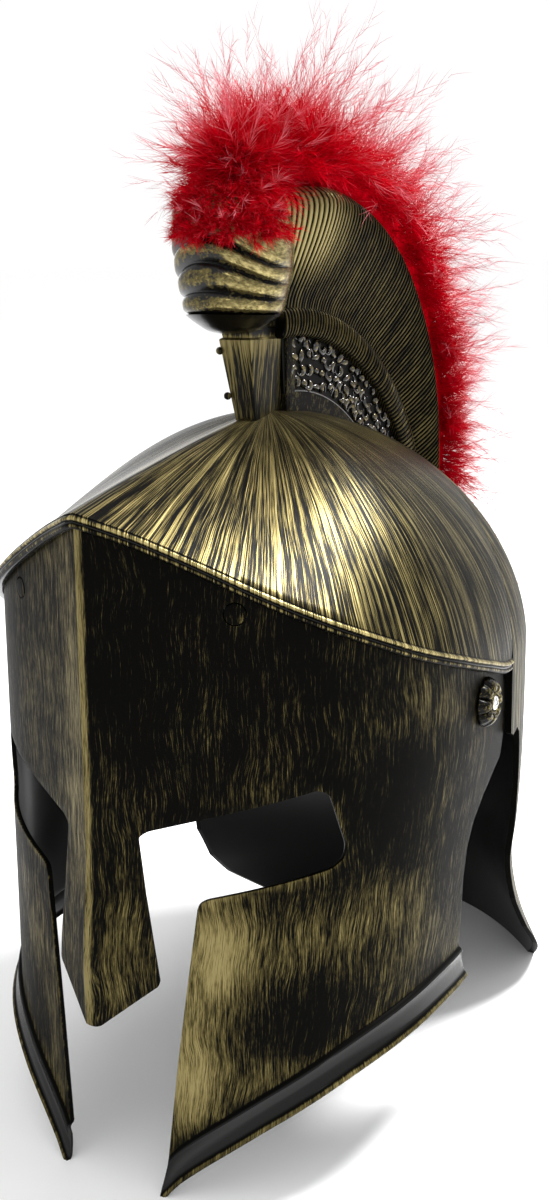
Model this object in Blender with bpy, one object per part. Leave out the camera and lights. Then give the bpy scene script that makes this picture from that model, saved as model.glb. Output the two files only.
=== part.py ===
"""A costume Spartan helmet: moulded shell, face mask, tall crest and a feather plume.

The shapes are drawn in millimetres in the helmet's own upright frame: x to the wearer's
left, y to the back, z up, with zero at the peak of the brow. The empty that holds them
places the brow and leans the helmet back until it stands on its cheek tips and neck guard.
"""

import math
import random

import bmesh
import bpy
from mathutils import Matrix, Vector

MM = 0.001
GAP = 0.3  # left between pieces that touch

# Standing attitude: how far the helmet leans back, and where the brow's peak then is.
LEAN_BACK = math.radians(4.1)
BROW_Y = -146.7
BROW_Z = 271.3

# Plan of the face mask's outer side at brow level, from the ridge round to the back.
HALF_WIDTH = 103.0
WIDEST_Y = 115.0
BACK_Y = 288.0
RIDGE_HALF = 1.9  # the flat strip down the nose ridge
BROW_PLAN = (  # x, y
    (RIDGE_HALF, 0.0),
    (20.0, 9.0),
    (40.0, 18.8),
    (60.0, 29.5),
    (76.5, 42.0),
    (88.0, 56.0),
    (97.0, 75.0),
    (101.8, 95.0),
)
BACK_STEPS = 11

# Where the shells' and the mask's corners fall round the plan.
COLUMN_S = (
    0.0, 1.9, 15.0, 30.0, 45.0, 60.0, 75.0, 88.0, 100.0, 112.0, 125.0, 140.0,
    156.0, 172.0, 189.0, 206.0, 224.0, 243.0, 263.0, 284.0, 306.0, 328.0, 350.0,
    368.0,
)

# The rim falls away from the brow's peak round the mask.
RIM_LINE = (  # s, z
    (0.0, 0.0),
    (23.0, -8.0),
    (48.0, -18.8),
    (74.0, -31.0),
    (100.0, -42.5),
    (131.0, -55.0),
    (156.0, -63.0),
    (185.0, -71.5),
    (213.0, -78.0),
    (400.0, -79.5),
)

# Dome profile: superellipse meridians, flatter at the front than at the sides.
DOME_TOP_Y = 130.0
DOME_TOP_Z = 30.0
DOME_FRONT = (-200.0, 1.25)  # centre z, power
DOME_SIDE = (-80.0, 1.8)
DOME_STANDS_PROUD = 3.0
DOME_FOOT_RISE = 2.8
DOME_WALL = 2.4
DOME_CROWN = 0.25  # within this share of the top the wall is measured straight down
DOME_SHARES = (0.0, 0.1, 0.2, 0.31, 0.42, 0.53, 0.64, 0.75, 0.85, 0.93, 1.0)

# Rim section: the double bead outside, and the hidden band that lies behind the mask.
BEAD_SECTION = (  # outer offset, outer drop, inner offset, inner drop
    (4.5, -1.4, 0.5, -0.4),
    (3.6, 0.2, 0.5, 0.6),
    (4.3, 1.8, 0.5, 1.8),
    (3.0, 3.2, 0.5, 3.2),
)
BROW_BAND = (  # offset, drop
    (1.8, -2.2),
    (1.8, 0.2),
    (-2.6, 0.2),
    (-2.6, 24.0),
    (-4.6, 24.0),
    (-4.6, -2.2),
)
BROW_BAND_S = 212.0

# The seam between dome and back shell: a plane that leans back as it rises.
SEAM_POINT = (0.0, 164.0, -76.0)
SEAM_NORMAL = (0.0, 1.0, -0.44)

# Back shell below the dome: how far each level stands off the plan, at the ear and behind.
BACK_WALL = 2.6
EAR_S = 228.0
BACK_LEVELS = (  # z, offset at the ear edge, offset at the back
    (-86.0, 3.0, 3.0),
    (-98.0, 3.0, 2.8),
    (-112.0, 3.0, 2.0),
    (-135.0, 2.8, 0.0),
    (-160.0, 1.6, -3.0),
    (-182.0, -0.6, -4.5),
    (-202.0, 2.0, -3.5),
    (-220.0, 8.0, -0.5),
    (-236.0, 16.5, 3.5),
)
FLOOR_OFFSETS = (23.0, 7.5)  # at the ear edge, at the back
EAR_OPENING = (  # y, z of the opening's edge, from the seam round to the guard's corner
    (40.0, -70.0),
    (166.6, -70.0),
    (166.6, -110.5),
    (171.0, -112.5),
    (180.0, -111.5),
    (185.5, -115.0),
    (187.5, -122.0),
    (189.5, -150.0),
    (192.0, -178.0),
    (199.0, -202.0),
    (212.0, -221.0),
    (228.0, -236.0),
    (250.0, -252.0),
    (262.0, -262.0),
    (262.0, -300.0),
    (40.0, -300.0),
)
EAR_CUT_HALF = 150.0

# Face mask, drawn flat: s runs round the mask from the ridge, z is height.
MASK_WALL = 2.2
MASK_TUCK = 0.8  # its top edge sits this far below the rim line
MASK_TOP_END = 213.0
TAPER_FROM_Z = -105.0
TAPER = 0.0007
MASK_REAR_EDGE = (  # s, z
    (216.5, -90.0),
    (219.0, -106.0),
    (222.5, -121.0),
    (213.0, -125.0),
    (201.0, -132.0),
    (192.5, -140.0),
    (189.0, -150.0),
    (190.5, -164.0),
    (196.0, -180.0),
)
FLANGE_EDGE = (  # s, z of the bottom edge, rear end to cheek tip
    (207.0, -212.5),
    (170.0, -212.0),
    (140.0, -215.0),
    (110.0, -223.0),
    (80.0, -238.0),
    (55.0, -253.5),
    (36.0, -266.5),
    (29.0, -274.0),
)
CHEEK_FRONT_EDGE = (  # s, z
    (27.0, -274.0),
    (31.0, -259.0),
    (35.4, -215.0),
    (43.0, -149.5),
)
EYE_SLOT_EDGE = (  # s, z, from the cheek's front corner round to the nose guard
    (46.0, -147.4),
    (96.0, -135.6),
    (101.0, -132.0),
    (101.5, -127.0),
    (92.5, -105.8),
    (88.0, -103.6),
    (22.5, -120.2),
    (19.0, -122.8),
)
NOSE_EDGE = (  # s, z
    (22.0, -146.0),
    (28.0, -182.0),
    (RIDGE_HALF, -200.0),
)
MASK_LEVELS = (-60.0, -84.0, -104.0, -122.0, -135.0, -150.0, -166.0, -182.0, -200.0, -220.0)
NOSE_FLARE = 4.0  # the nose guard's tip stands this far forward
NOSE_FLARE_Z = (-120.0, -182.0)
FLANGE_BAND = 14.0  # height of the outturned lip
FLANGE_SECTION = (  # share of the lip's height above its edge, offset
    (0.0, 5.4),
    (0.3, 3.6),
    (0.6, 2.2),
    (0.85, 1.5),
    (1.0, 0.0),
)
STRIP_RISE = 0.5  # the ridge strip stands this far proud
STRIP_EDGE = 0.5

# Forehead pegs and temple rosettes, each placed by s and z on the mask.
PEG_SPOT = (57.5, -35.0)
PEG_PROFILE = (  # radius, offset
    (0.0, 0.15),
    (3.9, 0.15),
    (4.2, -0.05),
    (4.2, -2.3),
    (2.6, -2.3),
    (2.6, -6.5),
    (0.0, -6.5),
)
PEG_HOLE = ((0.0, 3.0), (4.5, 3.0), (4.5, -2.35), (2.9, -2.35), (2.9, -9.0), (0.0, -9.0))
ROSETTE_SPOT = (189.0, -88.5)
ROSETTE_RADIUS = 11.0
ROSETTE_PETALS = 8
ROSETTE_SECTION = (  # radius, offset, how much of the scallop it takes
    (2.3, 0.3, 0.0),
    (2.3, 3.1, 0.0),
    (3.6, 3.1, 0.0),
    (3.8, 4.9, 0.1),
    (6.0, 5.2, 0.4),
    (8.4, 4.2, 0.7),
    (10.2, 2.4, 0.9),
    (11.0, 1.2, 1.0),
    (10.6, 0.3, 1.0),
)
SCALLOP = 0.09
SCREW_PROFILE = (  # radius, offset
    (0.0, 5.3),
    (2.2, 5.2),
    (3.2, 4.5),
    (3.2, 3.4),
    (2.0, 3.4),
    (2.0, -8.0),
    (0.0, -8.0),
)
SCREW_HOLE = ((0.0, 3.0), (2.3, 3.0), (2.3, -9.0), (0.0, -9.0))
SCREW_SLOT = (4.6, 0.9, 2.0)  # length, width, depth either side of the head's top

# Crest: swept about a centre below the dome's top, angles measured up from the back.
CREST_CENTRE = (137.0, -52.0)  # y, z
CREST_WAIST = 124.0
CREST_SECTIONS = (  # angle, outer radius, half-width at the outer edge
    (2.0, 124.5, 15.0),
    (10.0, 134.0, 16.5),
    (22.0, 143.0, 18.0),
    (36.0, 152.0, 20.5),
    (50.0, 160.5, 23.0),
    (64.0, 167.5, 26.0),
    (78.0, 172.5, 28.5),
    (90.0, 174.5, 30.0),
    (100.0, 174.0, 28.0),
)
CREST_STEPS = 20
CREST_PROFILE = (  # share of the height above the waist, share of the half-width
    (-0.10, 0.36),
    (0.10, 0.42),
    (0.30, 0.60),
    (0.60, 0.87),
    (0.82, 1.00),
    (0.93, 0.97),
    (1.00, 0.80),
)
FAN_BANDS = (  # inner radius, outer radius, half-width, angle from, angle to
    (60.0, 90.0, 10.0, 5.0, 92.0),
    (89.0, 114.0, 8.2, 4.0, 94.0),
    (113.0, 125.5, 12.4, 3.0, 96.0),
)
FAN_STEPS = 18
FOOT_ROWS = (  # z, half-width, y of the front face
    (14.0, 5.2, 115.5),
    (27.5, 5.2, 112.5),
    (60.5, 8.0, 105.3),
    (61.5, 7.0, 106.6),
    (72.0, 8.5, 104.0),
)
FOOT_BACK_Y = 146.0
BULGE_CENTRE_Y = 105.5
BULGE_REACH = (24.5, 27.0)  # across, along
BULGE_PROFILE = (  # share of the full radius, z
    (0.00, 63.0),
    (0.36, 63.6),
    (0.62, 68.0),
    (0.79, 71.5),
    (0.86, 74.5),
    (0.83, 78.0),
    (0.93, 81.5),
    (0.90, 85.5),
    (0.98, 89.5),
    (0.95, 93.5),
    (1.00, 98.0),
    (1.00, 106.0),
    (0.94, 113.0),
    (0.80, 119.0),
    (0.52, 124.0),
    (0.00, 126.0),
)
BULGE_SIDES = 28
STUDS = ((-8.0, 106.2, 56.0), (-6.6, 109.4, 37.0))  # x, y, z
STUD_RADIUS = 2.4

# Plume: a backing on the crest's outer edge, covered with tapering locks.
PLUME_SEAT = 0.8  # clear of the crest
PLUME_SECTIONS = (  # angle, inner radius, outer radius, half-width, length of the locks
    (8.0, 139.0, 146.0, 7.0, 15.0),
    (14.0, 139.5, 153.0, 12.0, 24.0),
    (24.0, 146.0, 162.0, 14.0, 28.0),
    (38.0, 155.0, 172.0, 15.0, 30.0),
    (52.0, 163.5, 181.0, 16.0, 31.0),
    (66.0, 170.5, 189.0, 17.0, 33.0),
    (80.0, 175.5, 196.0, 18.0, 36.0),
    (90.0, 178.5, 201.0, 20.0, 36.0),
    (98.0, 182.0, 204.0, 21.0, 26.0),
    (104.0, 183.5, 202.0, 20.0, 22.0),
    (109.0, 179.5, 195.0, 16.0, 18.0),
    (113.0, 174.0, 184.0, 9.0, 12.0),
)
PLUME_STEPS = 30
PLUME_SIDES = 8
LOCK_TIP = 0.2  # size of a lock's tip against its root
LOCK_SEED = 7


# ---------------------------------------------------------------- curves and tables


def read_table(table, key):
    """The other columns of a table at a value of its first, straight between rows."""
    rows = sorted(table)
    if key <= rows[0][0]:
        return rows[0][1:]
    for low, high in zip(rows, rows[1:]):
        if key <= high[0]:
            share = (key - low[0]) / (high[0] - low[0])
            return tuple(a + (b - a) * share for a, b in zip(low[1:], high[1:]))
    return rows[-1][1:]


def smooth_read(table, key):
    """The other columns of a table at a value of its first, on a curve through the rows."""
    last = len(table) - 1
    key = min(max(key, table[0][0]), table[last][0])
    index = next(k for k in range(last) if key <= table[k + 1][0])

    def slope(k, column):
        after, before = table[min(k + 1, last)], table[max(k - 1, 0)]
        return (after[column] - before[column]) / (after[0] - before[0])

    start, end = table[index], table[index + 1]
    span = end[0] - start[0]
    t = (key - start[0]) / span
    return tuple(
        start[c] * (2 * t**3 - 3 * t**2 + 1)
        + end[c] * (3 * t**2 - 2 * t**3)
        + slope(index, c) * span * (t**3 - 2 * t**2 + t)
        + slope(index + 1, c) * span * (t**3 - t**2)
        for c in range(1, len(start))
    )


def ease(value):
    value = min(max(value, 0.0), 1.0)
    return value * value * (3 - 2 * value)


def plan_rows():
    """The plan's corners, numbered: its brow, then a half ellipse round the back."""
    rows = list(BROW_PLAN)
    for step in range(BACK_STEPS + 1):
        turn = math.pi / 2 * (1 - step / BACK_STEPS)
        x = HALF_WIDTH * math.sin(turn)
        y = WIDEST_Y + (BACK_Y - WIDEST_Y) * math.cos(turn)
        rows.append((x, y))
    return [(number, *row) for number, row in enumerate(rows)]


def measured_plan(fineness=8):
    """The plan as (s, x, y) rows, s being the length round the mask from the ridge."""
    rows = plan_rows()
    samples = [smooth_read(rows, k / fineness) for k in range((len(rows) - 1) * fineness + 1)]
    measured = [(0.0, 0.0, 0.0), (RIDGE_HALF, RIDGE_HALF, 0.0)]
    for (x0, y0), (x1, y1) in zip(samples, samples[1:]):
        measured.append((measured[-1][0] + math.hypot(x1 - x0, y1 - y0), x1, y1))
    return measured


PLAN = measured_plan()
PLAN_LENGTH = PLAN[-1][0]


def on_plan(s):
    """Where the plan is at length s, and its outward normal. Negative s is the right side."""
    side = -1 if s < 0 else 1
    s = abs(s)
    x, y = read_table(PLAN, s)
    if s <= RIDGE_HALF:
        normal = Vector((0.24 * s / RIDGE_HALF, -1.0))
    elif s > PLAN_LENGTH - 1.0:
        normal = Vector((0.0, 1.0))
    else:
        x0, y0 = read_table(PLAN, max(s - 1.5, RIDGE_HALF))
        x1, y1 = read_table(PLAN, s + 1.5)
        normal = Vector((y1 - y0, x0 - x1))
    normal.normalize()
    return side * x, y, side * normal.x, normal.y


def beside_plan(s, offset, z):
    """A point at height z that stands off the plan."""
    x, y, nx, ny = on_plan(s)
    return Vector((x + nx * offset, y + ny * offset, z))


def on_mask(s, offset, z):
    """As beside_plan, drawn in towards the chin as the mask is."""
    point = beside_plan(s, offset, z)
    narrower = 1.0 - TAPER * max(0.0, TAPER_FROM_Z - z)
    point.x *= narrower
    point.y *= narrower * narrower
    return point


def rim_z(s):
    return smooth_read(RIM_LINE, abs(s))[0]


def floor_z(y):
    """Height of the surface that the helmet stands on, in its own leaned-back frame."""
    return -BROW_Z / math.cos(LEAN_BACK) + y * math.tan(LEAN_BACK)


# ---------------------------------------------------------------- mesh helpers


def finish_mesh(bm, name, material, parent, smooth_angle=38.0):
    """Weld, face outwards, scale to metres and link, smooth with its corners kept sharp."""
    bmesh.ops.remove_doubles(bm, verts=bm.verts, dist=1e-3)
    loose = [edge for edge in bm.edges if not edge.link_faces]
    bmesh.ops.delete(bm, geom=loose, context="EDGES")
    bmesh.ops.recalc_face_normals(bm, faces=bm.faces)
    bmesh.ops.scale(bm, vec=(MM, MM, MM), verts=bm.verts)
    mesh = bpy.data.meshes.new(name)
    bm.to_mesh(mesh)
    bm.free()
    mesh.materials.append(bpy.data.materials[material])
    mesh.shade_smooth()
    mesh.set_sharp_from_angle(angle=math.radians(smooth_angle))
    obj = bpy.data.objects.new(name, mesh)
    bpy.context.scene.collection.objects.link(obj)
    obj.parent = parent
    return obj


def helper(bm, name, parent):
    """A form that a Boolean uses, left out of the render."""
    obj = finish_mesh(bm, name, "black_gold", parent)
    obj.hide_render = True
    obj.display_type = "WIRE"
    return obj


def boolean(target, other, operation):
    modifier = target.modifiers.new(other.name, "BOOLEAN")
    modifier.operation = operation
    modifier.object = other
    modifier.solver = "EXACT"


def skin(rings, looped=False):
    """A surface through closed rings of points, its ends closed or joined to each other."""
    bm = bmesh.new()
    made = [[bm.verts.new(point) for point in ring] for ring in rings]
    if looped:
        made.append(made[0])
    for upper, lower in zip(made, made[1:]):
        for index in range(len(upper)):
            bm.faces.new((upper[index], upper[index - 1], lower[index - 1], lower[index]))
    bmesh.ops.remove_doubles(bm, verts=bm.verts, dist=1e-3)
    open_edges = [edge for edge in bm.edges if len(edge.link_faces) == 1]
    bmesh.ops.holes_fill(bm, edges=open_edges, sides=0)
    bmesh.ops.recalc_face_normals(bm, faces=bm.faces)
    return bm


def revolved(profile, sides, matrix):
    """A turned solid from (radius, height) rows that start and end on the axis."""
    bm = bmesh.new()
    verts = [bm.verts.new((radius, 0.0, height)) for radius, height in profile]
    edges = [bm.edges.new(pair) for pair in zip(verts, verts[1:])]
    bmesh.ops.spin(
        bm, geom=verts + edges, cent=(0, 0, 0), axis=(0, 0, 1),
        angle=2 * math.pi, steps=sides, use_merge=True,
    )
    bmesh.ops.remove_doubles(bm, verts=bm.verts, dist=1e-3)
    bmesh.ops.transform(bm, matrix=matrix, verts=bm.verts)
    bmesh.ops.recalc_face_normals(bm, faces=bm.faces)
    return bm


def joined(parts):
    """Several meshes as one, none of them touching another."""
    whole = bmesh.new()
    for part in parts:
        mesh = bpy.data.meshes.new("piece")
        part.to_mesh(mesh)
        part.free()
        whole.from_mesh(mesh)
        bpy.data.meshes.remove(mesh)
    return whole


def cut_by_plane(bm, point, normal):
    """Removes what lies on the normal's side of a plane, and closes the cut."""
    cut = bmesh.ops.bisect_plane(
        bm, geom=bm.verts[:] + bm.edges[:] + bm.faces[:], dist=1e-4,
        plane_co=point, plane_no=normal, clear_outer=True,
    )
    edges = [item for item in cut["geom_cut"] if isinstance(item, bmesh.types.BMEdge)]
    bmesh.ops.triangle_fill(bm, edges=edges, use_beauty=True, normal=normal)


def make_material(name, colour, roughness, metallic):
    material = bpy.data.materials.new(name)
    material.use_nodes = True
    shader = material.node_tree.nodes["Principled BSDF"]
    shader.inputs["Base Color"].default_value = (*colour, 1.0)
    shader.inputs["Roughness"].default_value = roughness
    shader.inputs["Metallic"].default_value = metallic


# ---------------------------------------------------------------- the shells


def dome_surface(s, share, grow=0.0):
    """A point of the dome's outside: share is 0 at its top and 1 at its foot."""
    blend = ease((abs(s) - 20.0) / 140.0)
    centre_z, power = (a + (b - a) * blend for a, b in zip(DOME_FRONT, DOME_SIDE))
    rise = DOME_TOP_Z + grow - centre_z
    base = beside_plan(s, DOME_STANDS_PROUD + grow, 0.0)
    foot = (rim_z(s) + DOME_FOOT_RISE - centre_z) / rise
    end = math.acos(foot ** (power / 2))
    reach = (math.sin(end * share) / math.sin(end)) ** (2 / power)
    return Vector((
        base.x * reach,
        DOME_TOP_Y + (base.y - DOME_TOP_Y) * reach,
        centre_z + rise * math.cos(end * share) ** (2 / power),
    ))


def dome_inside(s, share, wall):
    here = dome_surface(s, share)
    if share < DOME_CROWN:
        return here - Vector((0.0, 0.0, wall))
    along = dome_surface(s + 1.0, share) - dome_surface(s - 1.0, share)
    down = dome_surface(s, min(share + 0.01, 1.0)) - dome_surface(s, share - 0.01)
    return here + along.cross(down).normalized() * wall


def round_columns():
    half = COLUMN_S + (PLAN_LENGTH,)
    return [-s for s in reversed(half)] + list(half[1:-1])


def seam_cut(bm, keep_front):
    normal = Vector(SEAM_NORMAL).normalized()
    point = Vector(SEAM_POINT)
    if keep_front:
        cut_by_plane(bm, point, normal)
    else:
        cut_by_plane(bm, point + normal * GAP, -normal)


def make_dome(parent):
    columns = round_columns()
    outside = [[dome_surface(s, share) for s in columns] for share in DOME_SHARES]
    inside = [[dome_inside(s, share, DOME_WALL) for s in columns] for share in DOME_SHARES[:-1]]
    for offset, drop, inner_offset, inner_drop in BEAD_SECTION:
        outside.append([beside_plan(s, offset, rim_z(s) - drop) for s in columns])
        inside.append([beside_plan(s, inner_offset, rim_z(s) - inner_drop) for s in columns])
    bm = skin(outside + inside[::-1])
    seam_cut(bm, keep_front=True)
    return finish_mesh(bm, "dome", "black_gold", parent)


def make_brow_band(parent):
    """The band inside the rim that the mask is pegged and screwed to."""
    half = [s for s in COLUMN_S if s < BROW_BAND_S] + [BROW_BAND_S]
    columns = [-s for s in reversed(half)] + half[1:]
    rings = [
        [beside_plan(s, offset, rim_z(s) - drop) for offset, drop in BROW_BAND]
        for s in columns
    ]
    bm = skin(rings)
    seam_cut(bm, keep_front=True)
    return helper(bm, "brow_band_form", parent)


def make_back_shell(parent):
    columns = round_columns()
    outside = [[dome_surface(s, share) for s in columns] for share in DOME_SHARES]
    inside = [[dome_inside(s, share, BACK_WALL) for s in columns] for share in DOME_SHARES]

    def level(at_ear, behind, z, inset):
        ring = []
        for s in columns:
            share = ease((abs(s) - EAR_S) / (PLAN_LENGTH - EAR_S) * 1.2)
            point = beside_plan(s, at_ear + (behind - at_ear) * share - inset, z or 0.0)
            point.z = floor_z(point.y) if z is None else z
            ring.append(point)
        return ring

    for z, at_ear, behind in BACK_LEVELS + ((None, *FLOOR_OFFSETS),):
        outside.append(level(at_ear, behind, z, 0.0))
        inside.append(level(at_ear, behind, z, BACK_WALL))
    bm = skin(outside + inside[::-1])
    seam_cut(bm, keep_front=False)
    return finish_mesh(bm, "back_shell", "black_plastic", parent)


def make_ear_cutter(parent):
    left, right = (
        [Vector((x, y, z)) for y, z in EAR_OPENING] for x in (EAR_CUT_HALF, -EAR_CUT_HALF)
    )
    return helper(skin([left, right]), "ear_opening_cutter", parent)


# ---------------------------------------------------------------- the face mask


def half_outline():
    """The mask's left half, flat, from the brow's peak round to the nose guard's tip."""
    top = [s for s in COLUMN_S if s < MASK_TOP_END] + [MASK_TOP_END]
    outline = [(s, rim_z(s) - MASK_TUCK) for s in top]
    for edge in (MASK_REAR_EDGE, FLANGE_EDGE, CHEEK_FRONT_EDGE, EYE_SLOT_EDGE, NOSE_EDGE):
        outline.extend(edge)
    return outline


def split_flat(bm, point, normal, chosen=None):
    faces = chosen if chosen else bm.faces[:]
    geom = set(faces)
    for face in faces:
        geom.update(face.edges)
        geom.update(face.verts)
    bmesh.ops.bisect_plane(bm, geom=list(geom), dist=0.02, plane_co=point, plane_no=normal)


def split_along_lip(bm):
    """Cuts the flat mask along lines that follow its bottom edge, where the lip bends."""
    for share, _ in FLANGE_SECTION[1:]:
        for side in (-1, 1):
            for (s0, z0), (s1, z1) in zip(FLANGE_EDGE, FLANGE_EDGE[1:]):
                low, high = sorted((side * s0, side * s1))
                chosen = [f for f in bm.faces if low < f.calc_center_median().x < high]
                across = Vector((z0 - z1, 0.0, side * (s1 - s0)))
                start = (side * s0, 0.0, z0 + FLANGE_BAND * share)
                split_flat(bm, start, across.normalized(), chosen)


def mask_point(s, z, depth):
    """Bends a point of the flat mask onto its plan, depth behind its outer face."""
    offset = -depth
    height = (z - read_table(FLANGE_EDGE, abs(s))[0]) / FLANGE_BAND
    if abs(s) > CHEEK_FRONT_EDGE[0][0] - 0.01 and height < 1.0:
        offset += read_table(FLANGE_SECTION, height)[0]
    if abs(s) <= RIDGE_HALF + 0.01 and depth == 0.0:
        offset += STRIP_RISE
    if abs(s) <= NOSE_EDGE[1][0] + 0.01 and z > NOSE_EDGE[-1][1] - 0.1:
        start, end = NOSE_FLARE_Z
        flare = ease((start - z) / (start - end))
        offset += NOSE_FLARE * flare * (1 - abs(s) / 60.0)
    return on_mask(s, offset, z)


def make_face_mask(parent):
    bm = bmesh.new()
    half = half_outline()
    outline = half + [(-s, z) for s, z in reversed(half) if s > 0.0]
    bm.faces.new([bm.verts.new((s, 0.0, z)) for s, z in outline])
    columns = {s for s in COLUMN_S if s < MASK_TOP_END}
    columns |= {s for s, _ in FLANGE_EDGE}
    columns |= {RIDGE_HALF + STRIP_EDGE}
    for s in sorted(columns | {-s for s in columns}):
        split_flat(bm, (s, 0.0, 0.0), (1.0, 0.0, 0.0))
    for z in MASK_LEVELS:
        split_flat(bm, (0.0, 0.0, z), (0.0, 0.0, 1.0))
    split_along_lip(bm)
    bmesh.ops.remove_doubles(bm, verts=bm.verts, dist=0.05)
    bmesh.ops.triangulate(bm, faces=bm.faces[:], quad_method="BEAUTY", ngon_method="BEAUTY")
    pushed = bmesh.ops.extrude_face_region(bm, geom=bm.faces[:], use_keep_orig=True)
    inner = {item for item in pushed["geom"] if isinstance(item, bmesh.types.BMVert)}
    for vert in bm.verts:
        vert.co = mask_point(vert.co.x, vert.co.z, MASK_WALL if vert in inner else 0.0)
    down = Vector((0.0, math.sin(LEAN_BACK), -math.cos(LEAN_BACK)))
    cut_by_plane(bm, Vector((0.0, 0.0, floor_z(0.0))), down)
    return finish_mesh(bm, "face_mask", "black_gold", parent, 30.0)


def mask_frame(side, spot):
    """A matrix at a spot on the mask's outer face, its Z axis pointing out."""
    s, z = spot
    _, _, nx, ny = on_plan(side * s)
    out = Vector((nx, ny, 0.0))
    up = Vector((0.0, 0.0, 1.0))
    turn = Matrix((up.cross(out), up, out)).transposed().to_4x4()
    return Matrix.Translation(on_mask(side * s, 0.0, z)) @ turn


def make_fastener_cutter(parent):
    holes = [
        revolved(profile, 20, mask_frame(side, spot))
        for side in (1, -1)
        for profile, spot in ((PEG_HOLE, PEG_SPOT), (SCREW_HOLE, ROSETTE_SPOT))
    ]
    return helper(joined(holes), "fastener_hole_cutter", parent)


def make_rosette(side, name, parent):
    """A domed flower with a scalloped edge, bored and recessed for its screw."""
    around = ROSETTE_PETALS * 4
    rings = []
    for radius, offset, scallop in ROSETTE_SECTION:
        ring = []
        for index in range(around):
            turn = 2 * math.pi * index / around
            dip = 1 - abs(math.cos(ROSETTE_PETALS * turn / 2))
            reach = radius * (1 - SCALLOP * scallop * dip)
            rise = GAP + (offset - GAP) * (1 - 0.22 * min(scallop, 0.9) * dip)
            ring.append(Vector((reach * math.cos(turn), reach * math.sin(turn), rise)))
        rings.append(ring)
    bm = skin(rings, looped=True)
    bmesh.ops.transform(bm, matrix=mask_frame(side, ROSETTE_SPOT), verts=bm.verts)
    return finish_mesh(bm, name, "black_gold", parent, 50.0)


def make_screw(side, name, parent):
    frame = mask_frame(side, ROSETTE_SPOT)
    screw = finish_mesh(revolved(SCREW_PROFILE, 20, frame), name, "zinc", parent)
    length, width, depth = SCREW_SLOT
    for number, turn in enumerate((0.4, 0.4 + math.pi / 2)):
        slot = bmesh.new()
        bmesh.ops.create_cube(slot, size=1.0)
        shape = Matrix.Rotation(turn, 4, "Z") @ Matrix.Diagonal((length, width, depth, 1.0))
        place = Matrix.Translation((0.0, 0.0, SCREW_PROFILE[0][1]))
        bmesh.ops.transform(slot, matrix=frame @ place @ shape, verts=slot.verts)
        boolean(screw, helper(slot, f"{name}_slot_{number}", parent), "DIFFERENCE")
    return screw


# ---------------------------------------------------------------- the crest


def about_crest(angle, radius, x):
    """A point at an angle, in degrees up from the back, and a radius about the crest's centre."""
    turn = math.radians(angle)
    y = CREST_CENTRE[0] + radius * math.cos(turn)
    return Vector((x, y, CREST_CENTRE[1] + radius * math.sin(turn)))


def steps_between(start, end, count):
    return [start + (end - start) * k / count for k in range(count + 1)]


def crest_body():
    """The flared part of the crest, above its waist."""
    rings = []
    for angle in steps_between(CREST_SECTIONS[0][0], CREST_SECTIONS[-1][0], CREST_STEPS):
        outer, half = smooth_read(CREST_SECTIONS, angle)
        left = [
            about_crest(angle, CREST_WAIST + (outer - CREST_WAIST) * rise, half * width)
            for rise, width in CREST_PROFILE
        ]
        right = [Vector((-point.x, point.y, point.z)) for point in reversed(left)]
        rings.append(left + right)
    return skin(rings)


def fan_band(inner, outer, half, start, end):
    """An arc of the fan below the crest's waist, its outer corners eased."""
    eased = 1.2
    section = (
        (inner, half), (outer - eased, half), (outer, half - eased),
        (outer, eased - half), (outer - eased, -half), (inner, -half),
    )
    angles = steps_between(start, end, FAN_STEPS)
    return skin([[about_crest(angle, radius, x) for radius, x in section] for angle in angles])


def crest_foot():
    rings = []
    for z, half, front in FOOT_ROWS:
        corners = ((half, front), (half, FOOT_BACK_Y), (-half, FOOT_BACK_Y), (-half, front))
        rings.append([Vector((x, y, z)) for x, y in corners])
    return skin(rings)


def crest_bulge():
    across, along = BULGE_REACH
    size = Matrix.Diagonal((across, along, 1.0, 1.0))
    place = Matrix.Translation((0.0, BULGE_CENTRE_Y, 0.0))
    return revolved(BULGE_PROFILE, BULGE_SIDES, place @ size)


def stud(x, y, z):
    bm = bmesh.new()
    bmesh.ops.create_icosphere(bm, subdivisions=2, radius=STUD_RADIUS)
    bmesh.ops.translate(bm, verts=bm.verts, vec=(x, y, z))
    return bm


def dome_envelope():
    """The dome's outside a gap larger, closed below: what sits on the dome is cut by it."""
    columns = round_columns()
    rings = [[dome_surface(s, share, GAP) for s in columns] for share in DOME_SHARES]
    return skin(rings)


def make_crest(parent):
    crest = finish_mesh(crest_body(), "crest", "black_gold", parent)
    forms = [(fan_band(*band), f"crest_fan_{number}") for number, band in enumerate(FAN_BANDS)]
    forms += [(crest_foot(), "crest_foot_form"), (crest_bulge(), "crest_bulge_form")]
    forms += [(stud(*spot), f"crest_stud_{number}") for number, spot in enumerate(STUDS)]
    for form, name in forms:
        boolean(crest, helper(form, name, parent), "UNION")
    boolean(crest, helper(dome_envelope(), "dome_envelope_cutter", parent), "DIFFERENCE")
    return crest


# ---------------------------------------------------------------- the plume


def plume_section(angle):
    """A D-shaped section of the plume's backing, flat towards the crest."""
    inner, outer, half, _ = smooth_read(PLUME_SECTIONS, angle)
    if angle < CREST_SECTIONS[-1][0]:
        inner = max(inner, smooth_read(CREST_SECTIONS, angle)[0] + PLUME_SEAT)
    spring = inner + 0.3 * (outer - inner)
    section = [(inner, -0.8 * half)]
    for step in range(PLUME_SIDES + 1):
        turn = math.pi * (step / PLUME_SIDES - 0.5)
        section.append((spring + (outer - spring) * math.cos(turn), half * math.sin(turn)))
    section.append((inner, 0.8 * half))
    return [about_crest(angle, radius, x) for radius, x in section]


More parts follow.
